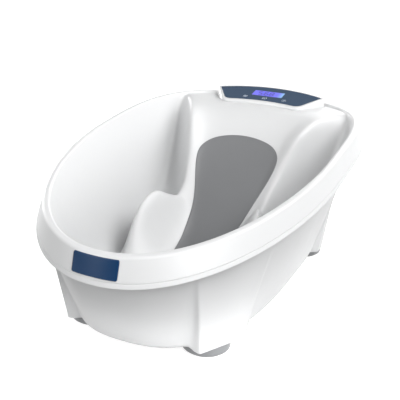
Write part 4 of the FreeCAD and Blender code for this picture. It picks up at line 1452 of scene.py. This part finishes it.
@dataclass
class Console:
    """Bezel, printed glass, display, key marks and the battery cover's grip.

    Cuts and the heights of flat things are (low, high) over the glass. Each key mark is given
    by its key's body, its side and its strokes about the key's middle.
    """

    form: ConsoleForm
    digits: DigitForm
    bezel_wall: float = 3.0
    bezel_gap: float = 0.2
    ledge: float = 2.0
    ledge_width: float = 2.2
    bezel_rounding: tuple[float, ...] = (0.45, 3.2, 0.3, 0.3, 0.5, 0.3, 0.3)
    bezel_passes: int = 3
    glass_edge: float = 0.3
    glass_rounding: tuple[float, ...] = (0.25, 0.2)
    glass_shares: tuple[float, float, int] = (0.03, 0.97, 8)
    cut: tuple[float, float] = (-6.0, 6.0)
    sharp: float = 40.0
    key_y: float = 312.0
    key_spacing: float = 46.0
    key_radius: float = 6.2
    key_gap: float = 0.4
    key_proud: float = 0.4
    key_points: int = 48
    key_marks: tuple[tuple[Body, float, Strokes], ...] = (
        (Body.KEY_LEFT, -1.0,
         ((-2.2, 1.5, 2.2, 1.5), (-2.2, 0.0, 2.2, 0.0), (-2.2, -1.5, 2.2, -1.5))),
        (Body.KEY_MIDDLE, 0.0,
         ((-2.4, 0.0, 2.4, 0.0), (0.0, 0.5, 0.0, 2.4), (0.0, -2.4, 0.0, -0.5))),
        (Body.KEY_RIGHT, 1.0,
         ((0.0, -0.4, 0.0, 2.8), (-1.1, -1.5, 1.1, -1.5), (0.9, 1.9, 2.2, 1.9))))
    display_y: float = 338.0
    display_half: tuple[float, float] = (35.6, 13.3)
    display_corner: float = 2.0
    display_gap: float = 0.12
    pane_corner: float = 1.9
    pane_height: tuple[float, float] = (-1.4, -0.02)
    digit_height: tuple[float, float] = (0.0, 0.04)
    mark_height: tuple[float, float] = (0.005, 0.045)
    mark_radii: tuple[float, float] = (4.9, 4.35)
    stroke_half_width: float = 0.35
    grip_half: tuple[float, float] = (16.0, 0.75)
    grip_corner: float = 0.7
    grip_points: int = 5
    grip_z: tuple[float, ...] = (310.0, 312.6, 315.2)
    grip_sink: float = 0.15
    grip_section: Curve = ((1.0, -0.8), (1.0, 0.35), (0.96, 0.7))

    def build_bezel(self) -> bpy.types.Object:
        """Makes the bezel: one section carried round the glass outline.

        The section runs up the pocket wall, over the narrow top, down the leaning side, and
        back under the ledge that carries the glass. The top's width depends on the height at
        its own edge, so it is improved a few times.

        Returns:
            The closed ring with the battery opening cut.
        """
        form = self.form
        points, normals = form.outline()
        base_z = form.seat_z + form.gasket
        base_margin = form.side_margin(base_z)
        top_margin = np.full(len(points), form.base_margin)
        for _ in range(self.bezel_passes):
            reach = points[:, 1] + normals[:, 1] * top_margin
            top_margin = form.side_margin(form.plane_z(reach) + form.proud)
        pocket = form.ring(self.bezel_gap, -form.glass)
        under = -form.glass - self.ledge
        rows = [pocket, form.ring(self.bezel_gap, form.proud),
                form.ring(top_margin[:, None], form.proud),
                level(points + normals * base_margin, base_z),
                level(points + normals * (base_margin - self.bezel_wall), base_z),
                form.ring((top_margin - self.bezel_wall)[:, None], under),
                form.ring(-self.ledge_width, under), form.ring(-self.ledge_width, -form.glass),
                pocket]
        grid = rounded_loft(rows, self.bezel_rounding)
        piece = make_surface("bezel", grid[:-1], ring=True, sharp=SOFT)
        door = rectangle(form.door_half_width, *form.door_y)
        carve(piece, [make_prism("door_cutter", door, *form.door_z)], SOFT)
        return piece

    def build_glass(self) -> bpy.types.Object:
        """Makes the printed glass plate with the display window and the three key holes.

        Returns:
            The closed plate.
        """
        form, inset = self.form, -self.glass_edge
        inner = form.ring(inset, 0.0)
        middle = inner.mean(axis=0)
        top = middle + (inner - middle) * np.linspace(*self.glass_shares)[:, None, None]
        rows = [inner, form.ring(0.0, 0.0), form.ring(0.0, -form.glass),
                form.ring(inset, -form.glass)]
        grid = np.concatenate([top, rounded_loft(rows, self.glass_rounding)])
        piece = make_surface("glass_plate", grid, sharp=self.sharp)
        window = rounded_box(*self.display_half, self.display_corner)
        hole = circle(self.key_radius + self.key_gap, self.key_points)
        key_v = form.up_slope(self.key_y)
        spacing = self.key_spacing
        outlines = [window + [0.0, form.up_slope(self.display_y)],
                    *(hole + [x, key_v] for x in (-spacing, 0.0, spacing))]
        cutters = [self.tilted_prism("cutter", outline, self.cut) for outline in outlines]
        carve(piece, cutters, self.sharp)
        return piece

    def tilted_prism(self, name: str, outline: Array,
                     height: tuple[float, float]) -> bpy.types.Object:
        """Straight solid on an outline in the glass plane, between two heights over the glass."""
        return make_surface(name, np.stack([self.form.place(outline, over) for over in height]))

    def build_display(self) -> bpy.types.Object:
        """Makes the lit display pane, flush with the glass in its window.

        Returns:
            The closed pane.
        """
        half_x, half_y = (half - self.display_gap for half in self.display_half)
        outline = rounded_box(half_x, half_y, self.pane_corner)
        outline = outline + [0.0, self.form.up_slope(self.display_y)]
        return self.tilted_prism("display_pane", outline, self.pane_height)

    def build_digits(self) -> bpy.types.Object:
        """Makes the reading, thin prisms just over the pane.

        Returns:
            The piece with all bars.
        """
        flat = self.digits.outlines() + [0.0, self.form.up_slope(self.display_y)]
        return self.build_marks("display_digits", flat, *self.digit_height)

    def build_marks(self, name: str, flat: Array, low: float, high: float) -> bpy.types.Object:
        """Makes thin prisms on outlines in the glass plane.

        Args:
            name: piece name.
            flat: (prisms, corners, 2) outlines, of either turn.
            low: height of the undersides over the glass.
            high: height of the tops over the glass.

        Returns:
            The piece with all prisms.
        """
        count, corners, _ = flat.shape
        beside = np.roll(flat, -1, axis=1)
        area = np.sum(flat[..., 0] * beside[..., 1] - flat[..., 1] * beside[..., 0], axis=1)
        flat = np.where((area < 0.0)[:, None, None], flat[:, ::-1], flat)
        vertices = np.stack([self.form.place(flat, over) for over in (low, high)], axis=1)
        first = (np.arange(count) * 2 * corners)[:, None]
        ring = np.arange(corners)
        after = np.roll(ring, -1)
        tops = first + corners + ring
        bottoms = first + ring[::-1]
        sides = np.stack([first + ring, first + after, first + corners + after, tops], axis=-1)
        faces = tops.tolist() + bottoms.tolist() + sides.reshape(-1, 4).tolist()
        return make_mesh(name, vertices.reshape(-1, 3), faces)

    def build_key_mark(self, name: str, x: float, strokes: Strokes) -> bpy.types.Object:
        """Makes a key's printed mark: a thin ring and a few straight strokes inside it.

        Args:
            name: piece name.
            x: plan x of the key.
            strokes: start and end points of the strokes, about the key's middle.

        Returns:
            The piece.
        """
        outer, inner = (circle(radius, self.key_points) for radius in self.mark_radii)
        ring = np.stack([outer, np.roll(outer, -1, 0), np.roll(inner, -1, 0), inner], axis=1)
        ends = np.asarray(strokes, dtype=float)
        start, end = ends[:, :2], ends[:, 2:]
        side = unit(end - start)[:, ::-1] * [-1.0, 1.0] * self.stroke_half_width
        lines = np.stack([start + side, start - side, end - side, end + side], axis=1)
        flat = np.concatenate([ring, lines]) + [x, self.form.up_slope(self.key_y)]
        low, high = (self.key_proud + over for over in self.mark_height)
        return self.build_marks(name, flat, low, high)

    def build_grip(self) -> bpy.types.Object:
        """Makes the finger ribs on the battery cover: three rounded bars across its outer face.

        Returns:
            The piece.
        """
        z = np.asarray(self.grip_z)
        y = self.form.top_y + self.form.side_margin(z) - self.grip_sink
        outline = rounded_box(*self.grip_half, self.grip_corner, self.grip_points)
        scale, out = np.transpose(self.grip_section)[:, :, None]
        ribs = []
        for rib_y, rib_z in zip(y, z):
            across, up = outline[:, 0] * scale, rib_z + outline[:, 1] * scale
            grid = np.stack([across, np.broadcast_to(rib_y + out, up.shape), up], axis=-1)
            ribs.append(make_surface("grip_rib", grid, sharp=SOFT))
        return join("cover_grip", ribs)


def join(name: str, pieces: Sequence[bpy.types.Object]) -> bpy.types.Object:
    """Joins pieces that share a finish and a body into the first one.

    Args:
        name: name of the result.
        pieces: objects at the origin.

    Returns:
        The joined object.
    """
    offsets = np.cumsum([0] + [len(piece.data.vertices) for piece in pieces])
    vertices, faces = [], []
    for piece, offset in zip(pieces, offsets):
        points = np.empty(len(piece.data.vertices) * 3)
        piece.data.vertices.foreach_get("co", points)
        vertices.append(points.reshape(-1, 3) / MM)
        faces += [[offset + index for index in face.vertices] for face in piece.data.polygons]
    joined = make_mesh(name, np.concatenate(vertices), faces, SOFT)
    for piece in pieces:
        bpy.data.objects.remove(piece)
    return joined


# ---------------------------------------------------------------- feet


@dataclass
class Foot:
    """Weighing foot: a turned disc with a boss up into the leg."""

    name: str
    x: float
    y: float
    radius: float = 42.0
    low_z: float = 2.0
    high_z: float = 18.8
    pad_radius: float = 37.1
    pad_top: float = 2.6
    boss_radius: float = 10.0
    boss_top: float = 29.0
    hub: float = 1.0
    points: int = 96
    rounding: tuple[float, ...] = (0.2, 0.3, 4.2, 1.6, 1.0, 0.6)

    def build(self) -> bpy.types.Object:
        """Makes the disc: a (radius, height) section turned about the foot's axis.

        Returns:
            The closed piece.
        """
        section = [(self.hub, self.pad_top), (self.pad_radius, self.pad_top),
                   (self.pad_radius, self.low_z), (self.radius, self.low_z),
                   (self.radius, self.high_z), (self.boss_radius, self.high_z),
                   (self.boss_radius, self.boss_top), (self.hub, self.boss_top)]
        rows = [level(circle(radius, self.points) + [self.x, self.y], z) for radius, z in section]
        return make_surface("disc_" + self.name, rounded_loft(rows, self.rounding), sharp=SOFT)


# ---------------------------------------------------------------- studio


@dataclass(frozen=True)
class Studio:
    """Floor, soft lights and the camera.

    Angles are in degrees. A sun is (name, azimuth, elevation, spread, strength), the glow is
    (half width, half length, radiance), and a panel light is (angle round the tub, radiance).
    The camera aims past its target by distances to the right and up.
    """

    azimuth: float = 24.2
    elevation: float = 20.1
    roll: float = 2.0
    distance: float = 1423.2
    aim: tuple[float, float] = (-8.2, 21.4)
    target_z: float = 150.0
    lens: float = 65.51
    sensor: float = 36.0
    ambient: float = 0.02
    backdrop: float = 1.0
    floor_glow: float = 0.86
    floor_half: float = 12000.0
    floor_z: float = -0.2
    suns: tuple[tuple[str, float, float, float, float], ...] = (
        ("side_light", 60.0, 2.0, 35.0, 3.1), ("key_light", 60.0, 45.0, 35.0, 1.68),
        ("right_light", 90.0, 45.0, 35.0, 0.8), ("back_light", 120.0, 45.0, 35.0, 1.26),
        ("crisp_light", 30.0, 55.0, 8.0, 0.32), ("fill_light", -30.0, 20.0, 35.0, 1.41),
        ("left_light", -60.0, 45.0, 20.0, 0.46), ("head_light", 180.0, 18.0, 35.0, 1.6),
        ("back_left_light", -120.0, 8.0, 30.0, 2.6))
    glow: tuple[float, float, float] = (280.0, 400.0, 0.08)
    glow_z: float = 0.4
    panels: Curve = (
        (-104.0, 0.3), (-97.0, 1.9), (-84.0, 2.5), (-72.0, 2.4), (-60.0, 2.3), (-48.0, 1.8),
        (-32.0, 0.8), (-16.0, 0.8), (0.0, 0.8), (15.0, 0.8), (30.0, 0.8))
    panel_oval: tuple[float, float] = (215.0, 365.0)
    panel_power: float = 2.3
    panel_middle_y: float = 28.5
    panel_turn: float = 0.6
    panel_gap: float = 70.0
    panel_size: tuple[float, float] = (160.0, 36.0)
    panel_z: float = 20.0

    def build_camera(self) -> None:
        """Makes the scene's camera on a ray from the target, rolled about its own axis."""
        a, e, roll = (math.radians(value) for value in (self.azimuth, self.elevation, self.roll))
        back = np.array([math.sin(a) * math.cos(e), -math.cos(a) * math.cos(e), math.sin(e)])
        right = np.array([math.cos(a), math.sin(a), 0.0])
        up = np.cross(back, right)
        target = np.array([0.0, 0.0, self.target_z])
        eye = back * self.distance + right * self.aim[0] + up * self.aim[1] + target
        turned_right = math.cos(roll) * right + math.sin(roll) * up
        turned_up = math.cos(roll) * up - math.sin(roll) * right
        camera = bpy.data.objects.new("camera", bpy.data.cameras.new("camera"))
        camera.data.lens = self.lens
        camera.data.sensor_width = self.sensor
        matrix = np.eye(4)
        matrix[:3, :3] = np.stack([turned_right, turned_up, back], axis=1)
        matrix[:3, 3] = eye * MM
        camera.matrix_world = Matrix(matrix.tolist())
        bpy.context.scene.collection.objects.link(camera)
        bpy.context.scene.camera = camera

    def build_floor(self) -> None:
        """Makes the pale floor, a wide level square that isn't part of the object."""
        corners = rectangle(self.floor_half, -self.floor_half, self.floor_half)
        floor = make_mesh("floor", level(corners, self.floor_z), [[0, 1, 2, 3]])
        floor.data.materials.append(FLOOR_WHITE.material())
        shader = FLOOR_WHITE.material().node_tree.nodes["Principled BSDF"]
        shader.inputs["Emission Color"].default_value = (1.0, 1.0, 1.0, 1.0)
        shader.inputs["Emission Strength"].default_value = self.floor_glow
        floor.visible_diffuse = False

    @staticmethod
    def add_sun(name: str, azimuth: float, elevation: float, spread: float,
                strength: float) -> None:
        """Adds an even, wide source of soft light.

        Args:
            name: light name.
            azimuth: degrees round from the foot end towards +X.
            elevation: degrees above the floor.
            spread: width of the source in degrees.
            strength: watts per square metre.
        """
        light = bpy.data.lights.new(name, "SUN")
        light.angle = math.radians(spread)
        light.energy = strength
        lamp = bpy.data.objects.new(name, light)
        turn = (math.radians(90.0 - elevation), 0.0, math.radians(azimuth))
        lamp.matrix_world = Euler(turn).to_matrix().to_4x4()
        bpy.context.scene.collection.objects.link(lamp)

    @staticmethod
    def add_lamp(light: bpy.types.AreaLight, size: tuple[float, float], area: float,
                 radiance: float, place: Matrix) -> None:
        """Adds a flat light that shines on the object and isn't itself seen.

        Args:
            light: the light's data.
            size: its width and length.
            area: its lit area in square millimetres.
            radiance: its brightness, in watts per square metre and steradian.
            place: where it stands, shining along its own -Z.
        """
        light.size, light.size_y = size[0] * MM, size[1] * MM
        light.energy = radiance * math.pi * area * MM * MM
        lamp = bpy.data.objects.new(light.name, light)
        lamp.matrix_world = place
        lamp.visible_camera = lamp.visible_glossy = False
        bpy.context.scene.collection.objects.link(lamp)

    def build_glow(self) -> None:
        """Makes an oval light that shines up from just over the floor, as a lit table does."""
        half_x, half_y, radiance = self.glow
        light = bpy.data.lights.new("table_glow", "AREA")
        light.shape = "ELLIPSE"
        place = Matrix.Translation((0.0, 0.0, self.glow_z * MM)) @ Matrix.Rotation(math.pi, 4, "X")
        area = math.pi * half_x * half_y
        self.add_lamp(light, (2.0 * half_x, 2.0 * half_y), area, radiance, place)

    def build_panels(self) -> None:
        """Makes a row of low panel lights that stand round the tub and face it.

        They stand off an oval, |x / a| ** p + |y / b| ** p = 1, by the same gap in the direction
        that they face, which turns less towards the ends than the oval does.
        """
        half_x, half_y = self.panel_oval
        power, area = self.panel_power, self.panel_size[0] * self.panel_size[1]
        for number, (angle, radiance) in enumerate(self.panels):
            across, along = math.cos(math.radians(angle)), math.sin(math.radians(angle))
            total = abs(across / half_x) ** power + abs(along / half_y) ** power
            radius = total ** (-1.0 / power)
            facing = Vector((across / half_x, self.panel_turn * along / half_y, 0.0)).normalized()
            y = self.panel_middle_y + radius * along
            middle = Vector((radius * across, y, self.panel_z)) + self.panel_gap * facing
            light = bpy.data.lights.new("panel_light_%d" % number, "AREA")
            light.shape = "RECTANGLE"
            turn = (-facing).to_track_quat("-Z", "Y").to_matrix().to_4x4()
            place = Matrix.Translation(middle * MM) @ turn
            self.add_lamp(light, self.panel_size, area, radiance, place)

    def build_world(self) -> None:
        """Makes the pale surroundings: dim as a light, and bright where they show as a backdrop."""
        world = bpy.data.worlds.new("studio")
        world.use_nodes = True
        nodes = Nodes(world.node_tree)
        seen = nodes.add("ShaderNodeLightPath", "Is Camera Ray")
        dim = {"To Min": self.ambient, "To Max": self.backdrop, "Value": seen}
        strength = nodes.add("ShaderNodeMapRange", "Result", dim)
        background = {"Color": (1.0, 1.0, 1.0, 1.0), "Strength": strength}
        nodes.fill(nodes.tree.nodes["Background"], background)
        bpy.context.scene.world = world
        bpy.context.scene.view_settings.view_transform = "Standard"

    def build(self) -> None:
        """Makes the whole studio."""
        self.build_camera()
        self.build_floor()
        self.build_world()
        for light in self.suns:
            self.add_sun(*light)
        self.build_glow()
        self.build_panels()


# ---------------------------------------------------------------- assembly


def dress_nodes() -> None:
    """Gives every carried-over node the finish of its material slot."""
    for part in frame["record"]["subparts"]:
        node = frame["nodes"][part["node"]]
        finish = SLOT_FINISHES[part["material_slot"]].material()
        if not node.material_slots:
            node.data.materials.append(finish)
        for slot in node.material_slots:
            slot.material = finish


def build_tub(tub: TubForm, seat: SeatForm, console: ConsoleForm) -> None:
    """Builds the basin, the outer shell, the pad and the badge.

    Args:
        tub: sizes that they share.
        seat: form of the seat.
        console: form of the console, whose seat is cut out of the basin.
    """
    parts = ((Basin(tub, seat, console), GLOSS_WHITE, "tub_white", "inner_tub"),
             (OuterShell(tub), SATIN_WHITE, "shell_white", "outer_shell"),
             (ReclinePad(seat), PAD_GREY, "pad_grey", "recline_pad"),
             (Badge(tub), BADGE_NAVY, "badge_navy", "badge_plate"))
    for part, finish, slot, replaced in parts:
        place_piece(part.build(), finish, Body.TUB.value, replaced)


def build_console(console: Console) -> None:
    """Builds the bezel, the glass, the display, the key marks and the cover's grip.

    Args:
        console: the console.
    """
    tub = Body.TUB.value
    place_piece(console.build_bezel(), BEZEL_WHITE, tub, "console_housing")
    place_piece(console.build_glass(), PANEL_NAVY, tub, "console_panel")
    place_piece(console.build_display(), LIT, tub)
    place_piece(console.build_digits(), DIGIT_INK, tub)
    for body, side, strokes in console.key_marks:
        mark = console.build_key_mark("mark_" + body.value, side * console.key_spacing, strokes)
        place_piece(mark, PRINT_WHITE, body.value)
    place_piece(console.build_grip(), BEZEL_WHITE, Body.DOOR.value)


def build_feet(tub: TubForm) -> None:
    """Builds the four weighing feet on their own bodies.

    Args:
        tub: sizes that hold the feet's places.
    """
    for end, x, y in tub.feet:
        for side, sign in (("left", -1.0), ("right", 1.0)):
            name = f"{end}_{side}"
            disc = Foot(name, sign * x, y).build()
            place_piece(disc, FOOT_GREY, "foot_" + name, "foot_disc_" + name)


def main() -> None:
    """Builds the studio and every piece."""
    logging.basicConfig(level=logging.INFO, format="%(name)s: %(message)s")
    Studio().build()
    dress_nodes()
    tub, console = TubForm(), ConsoleForm()
    build_tub(tub, SeatForm(), console)
    build_console(Console(console, DigitForm()))
    build_feet(tub)


if __name__ == "__main__":
    main()
